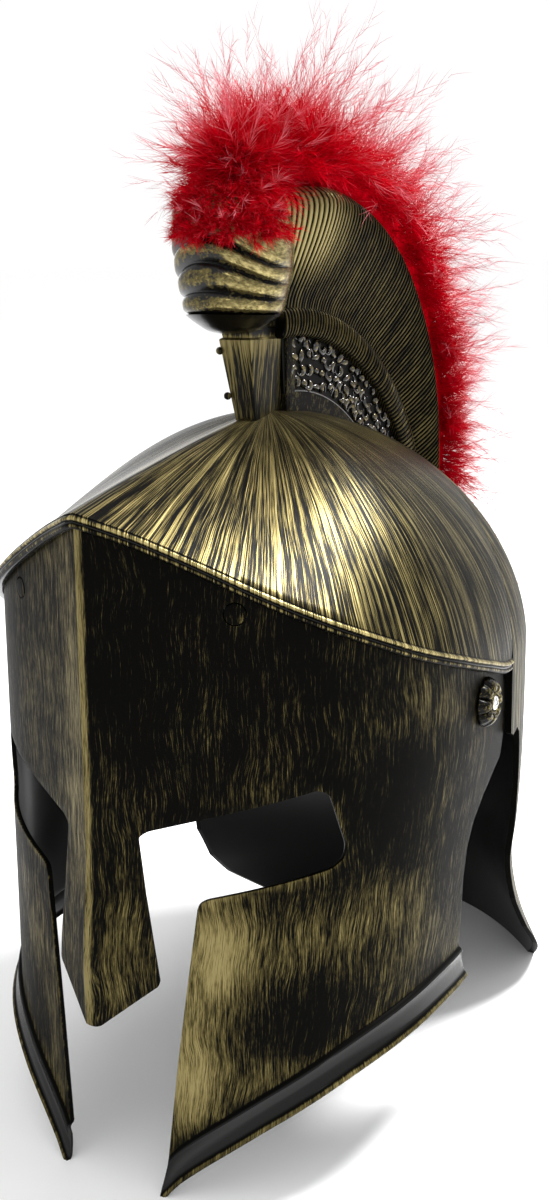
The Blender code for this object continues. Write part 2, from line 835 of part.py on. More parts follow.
def draw_out_locks(bm):
    """Draws each outward facet out into a tapering lock, its lean and length varied."""
    chance = random.Random(LOCK_SEED)
    roots = []
    for face in bm.faces:
        middle = face.calc_center_median()
        outward = middle - Vector((0.0, *CREST_CENTRE))
        outward.x *= 0.3
        outward.normalize()
        if face.normal.dot(outward) > -0.3:
            roots.append((face, middle, face.normal.copy(), outward))
    for face, middle, normal, outward in roots:
        height, back = middle.z - CREST_CENTRE[1], middle.y - CREST_CENTRE[0]
        length = smooth_read(PLUME_SECTIONS, math.degrees(math.atan2(height, back)))[3]
        lean = Vector([chance.uniform(-0.16, 0.16) for _ in range(3)])
        tip = middle + (normal + 0.3 * outward + lean).normalized() * length * chance.uniform(0.75, 1.0)
        bmesh.ops.inset_individual(bm, faces=[face], thickness=0.3)
        end = bmesh.ops.extrude_discrete_faces(bm, faces=[face])["faces"][0]
        for vert in end.verts:
            vert.co = tip + (vert.co - middle) * LOCK_TIP


def make_plume(parent):
    angles = steps_between(PLUME_SECTIONS[0][0], PLUME_SECTIONS[-1][0], PLUME_STEPS)
    bm = skin([plume_section(angle) for angle in angles])
    draw_out_locks(bm)
    return finish_mesh(bm, "plume", "crimson_down", parent)


# ---------------------------------------------------------------- assembly


def main():
    for obj in list(bpy.data.objects):
        bpy.data.objects.remove(obj)
    make_material("black_gold", (0.10, 0.085, 0.04), 0.38, 0.6)
    make_material("black_plastic", (0.012, 0.012, 0.012), 0.35, 0.0)
    make_material("zinc", (0.55, 0.55, 0.56), 0.3, 1.0)
    make_material("crimson_down", (0.62, 0.01, 0.03), 0.9, 0.0)

    helmet = bpy.data.objects.new("helmet", None)
    bpy.context.scene.collection.objects.link(helmet)
    helmet.location = (0.0, BROW_Y * MM, BROW_Z * MM)
    helmet.rotation_euler = (-LEAN_BACK, 0.0, 0.0)

    dome = make_dome(helmet)
    boolean(dome, make_brow_band(helmet), "UNION")
    back_shell = make_back_shell(helmet)
    boolean(back_shell, make_ear_cutter(helmet), "DIFFERENCE")
    face_mask = make_face_mask(helmet)
    fastener_holes = make_fastener_cutter(helmet)
    boolean(dome, fastener_holes, "DIFFERENCE")
    boolean(face_mask, fastener_holes, "DIFFERENCE")
    for side, tag in ((1, "left"), (-1, "right")):
        peg = revolved(PEG_PROFILE, 20, mask_frame(side, PEG_SPOT))
        finish_mesh(peg, f"forehead_peg_{tag}", "black_gold", helmet)
        make_rosette(side, f"rosette_{tag}", helmet)
        make_screw(side, f"rosette_screw_{tag}", helmet)
    make_crest(helmet)
    make_plume(helmet)


main()
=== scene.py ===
"""Spartan helmet: the detailed shells, mask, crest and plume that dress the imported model.

Shapes are drawn in millimetres in the helmet's own upright frame: x to the wearer's left,
y to the back, z up, with zero at the peak of the brow. Each piece is leaned back, placed and
scaled to metres when it is finished.
"""

import math
import random

import bmesh
import bpy
import numpy as np
from bpy.props import FloatProperty, FloatVectorProperty, IntProperty, PointerProperty
from bpy.types import Operator, Panel, PropertyGroup
from mathutils import Matrix, Vector


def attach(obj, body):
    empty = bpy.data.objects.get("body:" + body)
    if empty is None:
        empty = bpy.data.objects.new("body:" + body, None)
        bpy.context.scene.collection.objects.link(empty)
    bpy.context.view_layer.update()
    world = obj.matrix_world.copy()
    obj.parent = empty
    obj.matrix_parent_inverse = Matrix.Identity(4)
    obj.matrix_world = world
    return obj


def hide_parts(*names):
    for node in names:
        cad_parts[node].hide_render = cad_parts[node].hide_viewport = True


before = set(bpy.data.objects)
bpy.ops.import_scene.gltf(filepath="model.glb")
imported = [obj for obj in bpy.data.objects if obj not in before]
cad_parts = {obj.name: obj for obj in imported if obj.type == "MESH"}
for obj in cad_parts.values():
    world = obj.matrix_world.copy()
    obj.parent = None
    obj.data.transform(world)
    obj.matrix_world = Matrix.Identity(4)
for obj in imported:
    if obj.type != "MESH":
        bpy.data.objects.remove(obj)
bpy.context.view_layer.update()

bl_info = {
    "name": "Spartan Helmet",
    "version": (1, 0, 0),
    "blender": (4, 5, 0),
    "location": "3D View > Sidebar > Helmet",
    "description": "Builds a costume spartan helmet with an antique-gold finish and a plume",
    "category": "Add Mesh",
}

MM = 0.001
GAP = 0.3  # left between pieces that touch

# Standing attitude: how far the helmet leans back, and where the brow's peak then is.
LEAN_BACK = math.radians(4.1)
BROW_Y = -146.7
BROW_Z = 271.3

# Plan of the face mask's outer side at brow level, from the ridge round to the back.
HALF_WIDTH = 103.0
WIDEST_Y = 115.0
BACK_Y = 288.0
RIDGE_HALF = 1.9  # the flat strip down the nose ridge
BROW_PLAN = (  # x, y
    (RIDGE_HALF, 0.0),
    (20.0, 9.0),
    (40.0, 18.8),
    (60.0, 29.5),
    (76.5, 42.0),
    (88.0, 56.0),
    (97.0, 75.0),
    (101.8, 95.0),
)
BACK_STEPS = 11

# The rim falls away from the brow's peak round the mask.
RIM_LINE = (  # s, z
    (0.0, 0.0),
    (23.0, -8.0),
    (48.0, -18.8),
    (74.0, -31.0),
    (100.0, -42.5),
    (131.0, -55.0),
    (156.0, -63.0),
    (185.0, -71.5),
    (213.0, -78.0),
    (400.0, -79.5),
)

# Dome profile: superellipse meridians, flatter at the front than at the sides.
DOME_TOP_Y = 130.0
DOME_TOP_Z = 30.0
DOME_FRONT = (-200.0, 1.25)  # centre z, power
DOME_SIDE = (-80.0, 1.8)
DOME_STANDS_PROUD = 3.0
DOME_FOOT_RISE = 2.8
DOME_WALL = 2.4
DOME_CROWN = 0.25  # within this share of the top the wall is measured straight down

# Rim section: the double bead outside, and the hidden band that lies behind the mask.
RIM_BEAD = (  # offset, drop, gold worn through to it: round its outside and up behind it
    (3.2, -2.2, -0.5),
    (3.8, -1.9, 0.2),
    (4.4, -1.4, 0.6),
    (4.6, -0.9, 0.7),
    (4.3, -0.4, 0.3),
    (3.7, -0.1, -0.6),
    (3.4, 0.4, -0.9),
    (3.5, 0.9, -0.8),
    (3.9, 1.2, -0.2),
    (4.1, 1.6, 0.05),
    (4.0, 2.1, -0.1),
    (3.6, 2.6, -0.5),
    (2.8, 3.2, -0.9),
    (1.2, 3.2, -0.9),
    (0.6, 3.1, -0.9),
    (0.5, 2.6, -0.9),
    (0.5, 1.2, -0.9),
    (0.5, -0.4, -0.9),
)
BROW_BAND = (  # offset, drop
    (1.8, -2.2),
    (1.8, 0.2),
    (-2.6, 0.2),
    (-2.6, 24.0),
    (-4.6, 24.0),
    (-4.6, -2.2),
)
BROW_BAND_S = 212.0

# The seam between dome and back shell: a plane that leans back as it rises.
SEAM_POINT = (0.0, 164.0, -76.0)
SEAM_NORMAL = (0.0, 1.0, -0.44)

# Back shell below the dome: how far each level stands off the plan, at the ear and behind.
BACK_WALL = 2.6
EAR_S = 228.0
BACK_LEVELS = (  # z, offset at the ear edge, offset at the back
    (-86.0, 3.0, 3.0),
    (-98.0, 3.0, 2.8),
    (-112.0, 3.0, 2.0),
    (-135.0, 2.8, 0.0),
    (-160.0, 1.6, -3.0),
    (-182.0, -0.6, -4.5),
    (-202.0, 2.0, -3.5),
    (-220.0, 8.0, -0.5),
    (-236.0, 16.5, 3.5),
)
GUARD_LOWEST = -272.0  # below the floor, which cuts it off
FLOOR_DEPTH = 252.0
FLOOR_OFFSETS = (23.0, 7.5)  # at the ear edge, at the back
EAR_OPENING = (  # y, z of the opening's edge, from the seam round to the guard's corner
    (40.0, -70.0),
    (166.6, -70.0),
    (166.6, -110.5),
    (171.0, -112.5),
    (180.0, -111.5),
    (185.5, -115.0),
    (187.5, -122.0),
    (189.5, -150.0),
    (192.0, -178.0),
    (199.0, -202.0),
    (212.0, -221.0),
    (228.0, -236.0),
    (250.0, -252.0),
    (262.0, -262.0),
    (262.0, -300.0),
    (40.0, -300.0),
)
EAR_CUT_HALF = 150.0

# Face mask, drawn flat: s runs round the mask from the ridge, z is height.
MASK_WALL = 2.2
MASK_TUCK = 0.8  # its top edge sits this far below the rim line
MASK_TOP_END = 213.0
MASK_LINES_END = 220.0  # the last upright line that its sheet is scored along
MASK_LEVELS = (-4.0, -272.0)  # the first and last level one
TAPER_FROM_Z = -105.0
TAPER = 0.0007
MASK_REAR_EDGE = (  # s, z
    (216.5, -90.0),
    (219.0, -106.0),
    (222.5, -121.0),
    (213.0, -125.0),
    (201.0, -132.0),
    (192.5, -140.0),
    (189.0, -150.0),
    (190.5, -164.0),
    (196.0, -180.0),
)
FLANGE_EDGE = (  # s, z of the bottom edge, rear end to cheek tip
    (207.0, -212.5),
    (170.0, -212.0),
    (140.0, -215.0),
    (110.0, -223.0),
    (80.0, -238.0),
    (55.0, -253.5),
    (36.0, -266.5),
    (29.0, -274.0),
)
FLANGE_TABLE = FLANGE_EDGE[::-1]
CHEEK_FRONT_EDGE = (  # s, z
    (27.0, -274.0),
    (31.0, -259.0),
    (35.4, -215.0),
    (43.0, -149.5),
)
EYE_SLOT_EDGE = (  # s, z, from the cheek's front corner round to the nose guard
    (46.0, -147.4),
    (96.0, -135.6),
    (101.0, -132.0),
    (101.5, -127.0),
    (92.5, -105.8),
    (88.0, -103.6),
    (22.5, -120.2),
    (19.0, -122.8),
)
NOSE_EDGE = (  # s, z
    (22.0, -146.0),
    (28.0, -182.0),
    (RIDGE_HALF, -200.0),
)
NOSE_FLARE = 4.0  # the nose guard's tip stands this far forward
NOSE_FLARE_Z = (-120.0, -182.0)
FLANGE_BAND = 14.0  # height of the outturned lip
FLANGE_SECTION = (  # share of the lip's height above its edge, offset
    (0.0, 4.6),
    (0.04, 5.3),
    (0.10, 5.6),
    (0.17, 5.0),
    (0.24, 4.0),
    (0.36, 3.2),
    (0.6, 2.1),
    (0.76, 1.7),
    (0.84, 2.0),
    (0.92, 2.2),
    (0.98, 1.6),
    (1.04, 0.3),
    (1.1, 0.0),
)
STRIP_RISE = 0.5  # the ridge strip stands this far proud
STRIP_EDGE = 0.5

# Forehead pegs and temple rosettes, each placed by s and z on the mask.
PEG_SPOT = (57.5, -35.0)
PEG_PROFILE = (
    (0.0, 0.10),
    (3.5, 0.12),
    (3.95, 0.05),
    (4.2, -0.25),
    (4.2, -2.3),
    (2.6, -2.3),
    (2.6, -6.5),
    (0.0, -6.5),
)
PEG_HOLE = ((0.0, 3.0), (4.5, 3.0), (4.5, -2.35), (2.9, -2.35), (2.9, -9.0), (0.0, -9.0))
ROSETTE_SPOT = (189.0, -88.5)
ROSETTE_PETALS = 8
ROSETTE_SECTION = (  # radius, offset, how much of the scallop it takes
    (2.3, 0.3, 0.0),
    (2.3, 3.1, 0.0),
    (3.6, 3.1, 0.0),
    (3.7, 4.7, 0.0),
    (4.0, 5.0, 0.1),
    (4.5, 4.7, 0.2),
    (4.9, 4.2, 0.3),
    (5.4, 4.6, 0.5),
    (6.4, 5.2, 0.8),
    (7.6, 5.0, 1.0),
    (8.8, 4.2, 1.0),
    (9.9, 2.9, 1.0),
    (10.7, 1.7, 1.0),
    (11.0, 1.0, 1.0),
    (10.9, 0.5, 1.0),
    (10.5, 0.3, 1.0),
)
SCALLOP = 0.09
SCREW_PROFILE = (  # radius, offset
    (0.0, 5.35),
    (1.2, 5.3),
    (2.2, 5.1),
    (2.9, 4.7),
    (3.2, 4.2),
    (3.2, 3.45),
    (2.0, 3.4),
    (2.0, -8.0),
    (0.0, -8.0),
)
SCREW_HOLE = ((0.0, 3.0), (2.3, 3.0), (2.3, -9.0), (0.0, -9.0))
SCREW_SLOT = (4.6, 0.9, 2.0)  # length, width, depth either side of the head's top

# Crest: swept about a centre below the dome's top, angles measured up from the back.
CREST_CENTRE = (137.0, -52.0)  # y, z
CREST_WAIST = 124.0
CREST_SECTIONS = (  # angle, outer radius, half-width at the outer edge
    (2.0, 124.5, 15.0),
    (10.0, 134.0, 16.5),
    (22.0, 143.0, 18.0),
    (36.0, 152.0, 20.5),
    (50.0, 160.5, 23.0),
    (64.0, 167.5, 26.0),
    (78.0, 172.5, 28.5),
    (90.0, 174.5, 30.0),
    (100.0, 174.0, 28.0),
)
CREST_PROFILE = (  # share of the height above the waist, share of the half-width
    (-0.10, 0.36),
    (0.10, 0.42),
    (0.30, 0.60),
    (0.60, 0.87),
    (0.82, 1.00),
    (0.93, 0.97),
    (1.00, 0.80),
)
CREST_MAP_RADIUS = 154.0  # where the ribs' map is true to size
RIB_SEED = 11
FAN_BANDS = (  # inner radius, outer radius, half-width, angle from, angle to
    (60.0, 90.0, 10.0, 5.0, 92.0),
    (89.0, 114.0, 8.2, 4.0, 94.0),
    (113.0, 125.5, 12.4, 3.0, 96.0),
)
SCROLL_SEED = 5
FOOT_ROWS = (  # z, half-width, y of the front face
    (14.0, 5.2, 115.5),
    (27.5, 5.2, 112.5),
    (60.5, 8.0, 105.3),
    (61.5, 7.0, 106.6),
    (72.0, 8.5, 104.0),
)
FOOT_BACK_Y = 146.0
BORDER_STRIP = ((4.0, 132.0, 139.5), ((25.5, 8.7), (61.2, 9.3)))  # inner x, y, y; z, outer x
BULGE_CENTRE_Y = 105.5
BULGE_REACH = (24.5, 27.0)  # across, along
BULGE_MAP_SCALE = 0.45  # mm of its map for each degree
BULGE_OUTLINE = (  # z at the sides, share of the full radius, how much higher it is in front
    (63.0, 0.0, 0.0),
    (63.3, 0.22, 0.0),
    (64.2, 0.40, 0.0),
    (67.5, 0.62, 0.2),
    (70.6, 0.78, 0.6),
    (72.2, 0.825, 1.0),
    (76.5, 0.87, 3.2),
    (80.5, 0.91, 6.2),
    (84.5, 0.945, 9.2),
    (88.5, 0.975, 11.4),
    (96.0, 1.0, 12.4),
    (106.0, 0.99, 8.5),
    (113.0, 0.93, 4.5),
    (119.0, 0.80, 1.5),
    (123.0, 0.60, 0.4),
    (125.3, 0.34, 0.0),
    (126.0, 0.0, 0.0),
)
BULGE_ROLLS = (  # z at the sides, counted in rolls
    (71.0, 0.0),
    (77.0, 1.0),
    (83.5, 2.0),
    (90.0, 3.0),
    (98.0, 4.0),
)
STUDS = ((-8.0, 106.2, 56.0), (-6.6, 109.4, 37.0))  # x, y, z
STUD_RADIUS = 1.68


# Plume: a cord of down on the crest's outer edge, covered with loose feathers.
PLUME_SEAT = 0.1  # clear of the crest
PLUME_SECTIONS = (  # angle, outer radius, half-width, length of the feathers
    (8.0, 146.0, 7.0, 15.0),
    (14.0, 153.0, 12.0, 24.0),
    (24.0, 162.0, 14.0, 28.0),
    (38.0, 172.0, 15.0, 30.0),
    (52.0, 181.0, 16.0, 31.0),
    (66.0, 189.0, 17.0, 33.0),
    (80.0, 196.0, 18.0, 36.0),
    (90.0, 201.0, 20.0, 36.0),
    (98.0, 204.0, 21.0, 26.0),
    (104.0, 202.0, 20.0, 22.0),
    (109.0, 195.0, 16.0, 18.0),
    (113.0, 184.0, 9.0, 12.0),
)
CORE_END = 99.0  # the angle at which the cord goes in under the ball of down
CORE_SEED = 3
PLUME_ROOM = ((-0.105, -0.180, 0.200), (0.105, 0.181, 0.462))
DOWN_BALL = (3.0, 108.0, 129.0)  # the middle of the ball over the bulge
DOWN_REACH = (9.0, 10.0, 9.0)  # how far out of it the quills spring
SKIRT_SHARE = 0.45  # share of the ball's quills that are laid over the bulge's side
SKIRT_TURN = (-0.35, 1.5)  # from the front, towards the left side
SKIRT_HEIGHT = (102.0, 125.0)
PLUME_PARTS = (  # name, angles (none on the head), share of the quills, length, share loose
    ("plume_back", 8.5, 34.0, 0.18, 0.80, 0.34),
    ("plume_rear", 34.0, 58.0, 0.18, 0.82, 0.36),
    ("plume_top", 58.0, 82.0, 0.19, 0.95, 0.36),
    ("plume_front", 82.0, 97.0, 0.15, 1.0, 0.32),
    ("plume_head", 0.0, 0.0, 0.30, 1.15, 0.26),
)


# ---------------------------------------------------------------- curves and tables


def read_table(table, key):
    """The other columns of a table at a value of its first, straight between rows."""
    rows = sorted(table)
    if key <= rows[0][0]:
        return rows[0][1:]
    for low, high in zip(rows, rows[1:]):
        if key <= high[0]:
            share = (key - low[0]) / (high[0] - low[0])
            return tuple(a + (b - a) * share for a, b in zip(low[1:], high[1:]))
    return rows[-1][1:]


def smooth_read(table, key):
    """The other columns of a table at a value of its first, on a curve through the rows."""
    last = len(table) - 1
    key = min(max(key, table[0][0]), table[last][0])
    index = next(k for k in range(last) if key <= table[k + 1][0])

    def slope(k, column):
        after, before = table[min(k + 1, last)], table[max(k - 1, 0)]
        return (after[column] - before[column]) / (after[0] - before[0])

    start, end = table[index], table[index + 1]
    span = end[0] - start[0]
    t = (key - start[0]) / span
    return tuple(
        start[c] * (2 * t**3 - 3 * t**2 + 1)
        + end[c] * (3 * t**2 - 2 * t**3)
        + slope(index, c) * span * (t**3 - 2 * t**2 + t)
        + slope(index + 1, c) * span * (t**3 - t**2)
        for c in range(1, len(start))
    )


def ease(value):
    value = min(max(value, 0.0), 1.0)
    return value * value * (3 - 2 * value)


def plan_rows():
    """The plan's corners, numbered: its brow, then a half ellipse round the back."""
    rows = list(BROW_PLAN)
    for step in range(BACK_STEPS + 1):
        turn = math.pi / 2 * (1 - step / BACK_STEPS)
        x = HALF_WIDTH * math.sin(turn)
        y = WIDEST_Y + (BACK_Y - WIDEST_Y) * math.cos(turn)
        rows.append((x, y))
    return [(number, *row) for number, row in enumerate(rows)]


def measured_plan(fineness=8):
    """The plan as (s, x, y) rows, s being the length round the mask from the ridge."""
    rows = plan_rows()
    samples = [smooth_read(rows, k / fineness) for k in range((len(rows) - 1) * fineness + 1)]
    measured = [(0.0, 0.0, 0.0), (RIDGE_HALF, RIDGE_HALF, 0.0)]
    for (x0, y0), (x1, y1) in zip(samples, samples[1:]):
        measured.append((measured[-1][0] + math.hypot(x1 - x0, y1 - y0), x1, y1))
    return measured


PLAN = measured_plan()
PLAN_LENGTH = PLAN[-1][0]


def on_plan(s):
    """Where the plan is at length s, and its outward normal. Negative s is the right side."""
    side = -1 if s < 0 else 1
    s = abs(s)
    x, y = read_table(PLAN, s)
    if s <= RIDGE_HALF:
        normal = Vector((0.24 * s / RIDGE_HALF, -1.0))
    elif s > PLAN_LENGTH - 1.0:
        normal = Vector((0.0, 1.0))
    else:
        x0, y0 = read_table(PLAN, max(s - 1.5, RIDGE_HALF))
        x1, y1 = read_table(PLAN, s + 1.5)
        normal = Vector((y1 - y0, x0 - x1))
    normal.normalize()
    return side * x, y, side * normal.x, normal.y


def beside_plan(s, offset, z):
    """A point at height z that stands off the plan."""
    x, y, nx, ny = on_plan(s)
    return Vector((x + nx * offset, y + ny * offset, z))


def on_mask(s, offset, z):
    """As beside_plan, drawn in towards the chin as the mask is."""
    point = beside_plan(s, offset, z)
    narrower = 1.0 - TAPER * max(0.0, TAPER_FROM_Z - z)
    point.x *= narrower
    point.y *= narrower * narrower
    return point


def rim_z(s):
    return smooth_read(RIM_LINE, abs(s))[0]


def floor_z(y):
    """Height of the surface that the helmet stands on, in its own leaned-back frame."""
    return -BROW_Z / math.cos(LEAN_BACK) + y * math.tan(LEAN_BACK)


def steps_between(start, end, count):
    return [start + (end - start) * k / count for k in range(count + 1)]


def about_crest(angle, radius, x):
    """A point at an angle, in degrees up from the back, and a radius about the crest's centre."""
    turn = math.radians(angle)
    y = CREST_CENTRE[0] + radius * math.cos(turn)
    return Vector((x, y, CREST_CENTRE[1] + radius * math.sin(turn)))


# ---------------------------------------------------------------- mesh helpers

STANDING = (
    Matrix.Translation((0.0, BROW_Y * MM, BROW_Z * MM))
    @ Matrix.Rotation(-LEAN_BACK, 4, "X")
    @ Matrix.Scale(MM, 4)
)
CHART_SCALE = 0.01  # one unit of a UV map is 100 mm
DOWN = Vector((0.0, math.sin(LEAN_BACK), -math.cos(LEAN_BACK)))


def place_piece(mesh, name, replaced):
    obj = bpy.data.objects.new(name, mesh)
    bpy.context.scene.collection.objects.link(obj)
    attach(obj, "root")
    if replaced:
        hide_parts(*replaced)
    return obj


def settle(bm, name, materials, replaced=(), sharp=40.0, weld=2e-3):
    """Welds a finished shape, stands it in place and makes it a piece on the helmet."""
    if weld:
        bmesh.ops.remove_doubles(bm, verts=bm.verts, dist=weld)
    loose = [edge for edge in bm.edges if not edge.link_faces]
    bmesh.ops.delete(bm, geom=loose, context="EDGES")
    bmesh.ops.recalc_face_normals(bm, faces=bm.faces)
    bmesh.ops.transform(bm, matrix=STANDING, verts=bm.verts)
    mesh = bpy.data.meshes.new(name)
    bm.to_mesh(mesh)
    bm.free()
    for material in materials:
        mesh.materials.append(bpy.data.materials[material])
    mesh.shade_smooth()
    mesh.set_sharp_from_angle(angle=math.radians(sharp))
    return place_piece(mesh, name, replaced)


def charted(columns, rows, place):
    """A grid laid out flat for its UV map, in mm, and then carried to its place.

    Each row is (height on the map, anything that place reads). place gives a point and,
    for its second value, how much gold lies there, with painted highlight and painted shade added
    on some pieces.
    """
    bm = bmesh.new()
    across, down = len(columns) - 1, len(rows) - 1
    bmesh.ops.create_grid(bm, x_segments=across, y_segments=down, size=0.5)
    chart = bm.loops.layers.uv.new("UVMap")
    gold_and_painted_light = bm.verts.layers.float.new("gold_and_painted_light")
    spots = {
        vert: (round((vert.co.x + 0.5) * across), round((vert.co.y + 0.5) * down))
        for vert in bm.verts
    }
    for face in bm.faces:
        for loop in face.loops:
            column, row = spots[loop.vert]
            loop[chart].uv = (columns[column] * CHART_SCALE, rows[row][0] * CHART_SCALE)
    for vert, (column, row) in spots.items():
        vert.co, vert[gold_and_painted_light] = place(columns[column], rows[row][1])
    return bm


def mapped_rows(levels, along):
    """Rows for charted, their heights measured along one column."""
    rows, height, last = [], 0.0, None
    for level in levels:
        point = along(level)
        if last is not None:
            height += (point - last).length
        last = point
        rows.append((height, level))
    return rows


def close_ends(bm, dist=2e-3):
    bmesh.ops.remove_doubles(bm, verts=bm.verts, dist=dist)
    open_edges = [edge for edge in bm.edges if len(edge.link_faces) == 1]
    bmesh.ops.holes_fill(bm, edges=open_edges, sides=0)
    bmesh.ops.recalc_face_normals(bm, faces=bm.faces)
    return bm


def skin(rings, looped=False):
    """A surface through closed rings of points, its ends closed or joined to each other."""
    bm = bmesh.new()
    made = [[bm.verts.new(point) for point in ring] for ring in rings]
    if looped:
        made.append(made[0])
    for upper, lower in zip(made, made[1:]):
        for index in range(len(upper)):
            bm.faces.new((upper[index], upper[index - 1], lower[index - 1], lower[index]))
    return close_ends(bm, 1e-3)


def revolved(profile, sides, matrix):
    """A turned solid from (radius, height) rows that start and end on the axis."""
    bm = bmesh.new()
    verts = [bm.verts.new((radius, 0.0, height)) for radius, height in profile]
    edges = [bm.edges.new(pair) for pair in zip(verts, verts[1:])]
    bmesh.ops.spin(
        bm, geom=verts + edges, cent=(0, 0, 0), axis=(0, 0, 1),
        angle=2 * math.pi, steps=sides, use_merge=True,
    )
    bmesh.ops.remove_doubles(bm, verts=bm.verts, dist=1e-3)
    bmesh.ops.transform(bm, matrix=matrix, verts=bm.verts)
    bmesh.ops.recalc_face_normals(bm, faces=bm.faces)
    return bm


def joined(parts):
    """Several meshes as one, none of them touching another."""
    whole = bmesh.new()
    for part in parts:
        mesh = bpy.data.meshes.new("piece")
        part.to_mesh(mesh)
        part.free()
        whole.from_mesh(mesh)
        bpy.data.meshes.remove(mesh)
    return whole


def box_map(bm):
    """A UV map from the sides, in mm, for a piece that was not charted."""
    chart = bm.loops.layers.uv.new("UVMap")
    for face in bm.faces:
        for loop in face.loops:
            co = loop.vert.co
            across = co.x if abs(face.normal.y) > abs(face.normal.x) else co.y
            loop[chart].uv = (across * CHART_SCALE, co.z * CHART_SCALE)


def stretch_map(bm, factor):
    """Widens a chart whose columns are degrees, so that it is in mm."""
    chart = bm.loops.layers.uv.active
    for face in bm.faces:
        for loop in face.loops:
            loop[chart].uv.x *= factor


def paint_gold_and_light(bm, rule):
    """Sets how much gold lies at each corner from its place, with a painted highlight where the
    rule adds one.
    """
    gold_and_painted_light = bm.verts.layers.float.new("gold_and_painted_light")
    for vert in bm.verts:
        vert[gold_and_painted_light] = rule(vert.co)


def cut_by_plane(bm, point, normal):
    """Removes what lies on the normal's side of a plane, and closes the cut."""
    cut = bmesh.ops.bisect_plane(
        bm, geom=bm.verts[:] + bm.edges[:] + bm.faces[:], dist=1e-4,
        plane_co=point, plane_no=normal, clear_outer=True,
    )
    edges = [item for item in cut["geom_cut"] if isinstance(item, bmesh.types.BMEdge)]
    bmesh.ops.triangle_fill(bm, edges=edges, use_beauty=True, normal=normal)


def seam_cut(bm, keep_front):
    normal = Vector(SEAM_NORMAL).normalized()
    point = Vector(SEAM_POINT)
    if keep_front:
        cut_by_plane(bm, point, normal)
    else:
        cut_by_plane(bm, point + normal * GAP, -normal)


def floor_cut(bm):
    cut_by_plane(bm, Vector((0.0, 0.0, floor_z(0.0))), DOWN)


def carve(obj, cutters):
    """Cuts other shapes out of a piece and keeps the result."""
    for bm in cutters:
        bmesh.ops.transform(bm, matrix=STANDING, verts=bm.verts)
        mesh = bpy.data.meshes.new("cutter")
        bm.to_mesh(mesh)
        bm.free()
        tool = bpy.data.objects.new("cutter", mesh)
        bpy.context.scene.collection.objects.link(tool)
        modifier = obj.modifiers.new("carve", "BOOLEAN")
        modifier.operation = "DIFFERENCE"
        modifier.object = tool
        modifier.solver = "EXACT"
        graph = bpy.context.evaluated_depsgraph_get()
        carved = bpy.data.meshes.new_from_object(obj.evaluated_get(graph))
        obj.modifiers.remove(modifier)
        old = obj.data
        obj.data = carved
        bpy.data.meshes.remove(old)
        bpy.data.objects.remove(tool)
        bpy.data.meshes.remove(mesh)


def mask_frame(side, spot):
    """A matrix at a spot on the mask's outer face, its Z axis pointing out."""
    s, z = spot
    _, _, nx, ny = on_plan(side * s)
    out = Vector((nx, ny, 0.0))
    up = Vector((0.0, 0.0, 1.0))
    turn = Matrix((up.cross(out), up, out)).transposed().to_4x4()
    return Matrix.Translation(on_mask(side * s, 0.0, z)) @ turn


def wave(phase):
    """From 0 in a groove to 1 on a ridge, the ridge the broader."""
    return abs(math.sin(math.pi * phase)) ** 0.7


# ---------------------------------------------------------------- the shells


def dome_surface(s, share):
    """A point of the dome's outside: share is 0 at its top and 1 at its foot."""
    blend = ease((abs(s) - 20.0) / 140.0)
    centre_z, power = (a + (b - a) * blend for a, b in zip(DOME_FRONT, DOME_SIDE))
    rise = DOME_TOP_Z - centre_z
    base = beside_plan(s, DOME_STANDS_PROUD, 0.0)
    foot = (rim_z(s) + DOME_FOOT_RISE - centre_z) / rise
    end = math.acos(foot ** (power / 2))
    reach = (math.sin(end * share) / math.sin(end)) ** (2 / power)
    return Vector((
        base.x * reach,
        DOME_TOP_Y + (base.y - DOME_TOP_Y) * reach,
        centre_z + rise * math.cos(end * share) ** (2 / power),
    ))


def dome_inside(s, share, wall):
    here = dome_surface(s, share)
    if share < DOME_CROWN:
        return here - Vector((0.0, 0.0, wall))
    along = dome_surface(s + 1.0, share) - dome_surface(s - 1.0, share)
    down = dome_surface(s, min(share + 0.01, 1.0)) - dome_surface(s, share - 0.01)
    return here + along.cross(down).normalized() * wall


def line_inside(bm, height):
    """Leaves a shell unpainted from this height of its chart on, which is its inside."""
    chart = bm.loops.layers.uv.active
    for face in bm.faces:
        if min(loop[chart].uv.y for loop in face.loops) >= height * CHART_SCALE - 1e-6:
            face.material_index = 1


def build_dome(form):
    columns = steps_between(-PLAN_LENGTH, PLAN_LENGTH, form.shell_columns)
    levels = [("outside", share) for share in steps_between(0.0, 1.0, form.shell_rows)]
    levels += [("bead", row) for row in RIM_BEAD]
    inner = steps_between(0.0, 1.0, form.shell_rows // 2)[-2::-1]
    levels += [("inside", share) for share in inner]

    def place(s, level):
        kind, key = level
        if kind == "outside":
            # Less gold towards the sides and back. The second term is a painted shade that darkens
            # the right side, turned away from the camera.
            gold_and_light_amount = -0.22 * ease((abs(s) - 90.0) / 80.0) - 0.2 * ease((-s - 10.0) / 60.0)
            return dome_surface(s, key), gold_and_light_amount
        if kind == "inside":
            return dome_inside(s, key, DOME_WALL), 0.0
        offset, drop, gold_and_light_amount = key
        return beside_plan(s, offset, rim_z(s) - drop), gold_and_light_amount

    rows = mapped_rows(levels, lambda level: place(120.0, level)[0])
    bm = charted(columns, rows, place)
    line_inside(bm, rows[form.shell_rows + 1 + len(RIM_BEAD)][0])
    close_ends(bm)
    seam_cut(bm, keep_front=True)
    settle(bm, "dome_shell", ("black_gold", "black_plastic"), ("dome",))
    half = steps_between(0.0, BROW_BAND_S, 60)
    band = skin([
        [beside_plan(s, offset, rim_z(s) - drop) for offset, drop in BROW_BAND]
        for s in [-s for s in half[::-1]] + half[1:]
    ])
    seam_cut(band, keep_front=True)
    settle(band, "brow_band", ("black_plastic",))


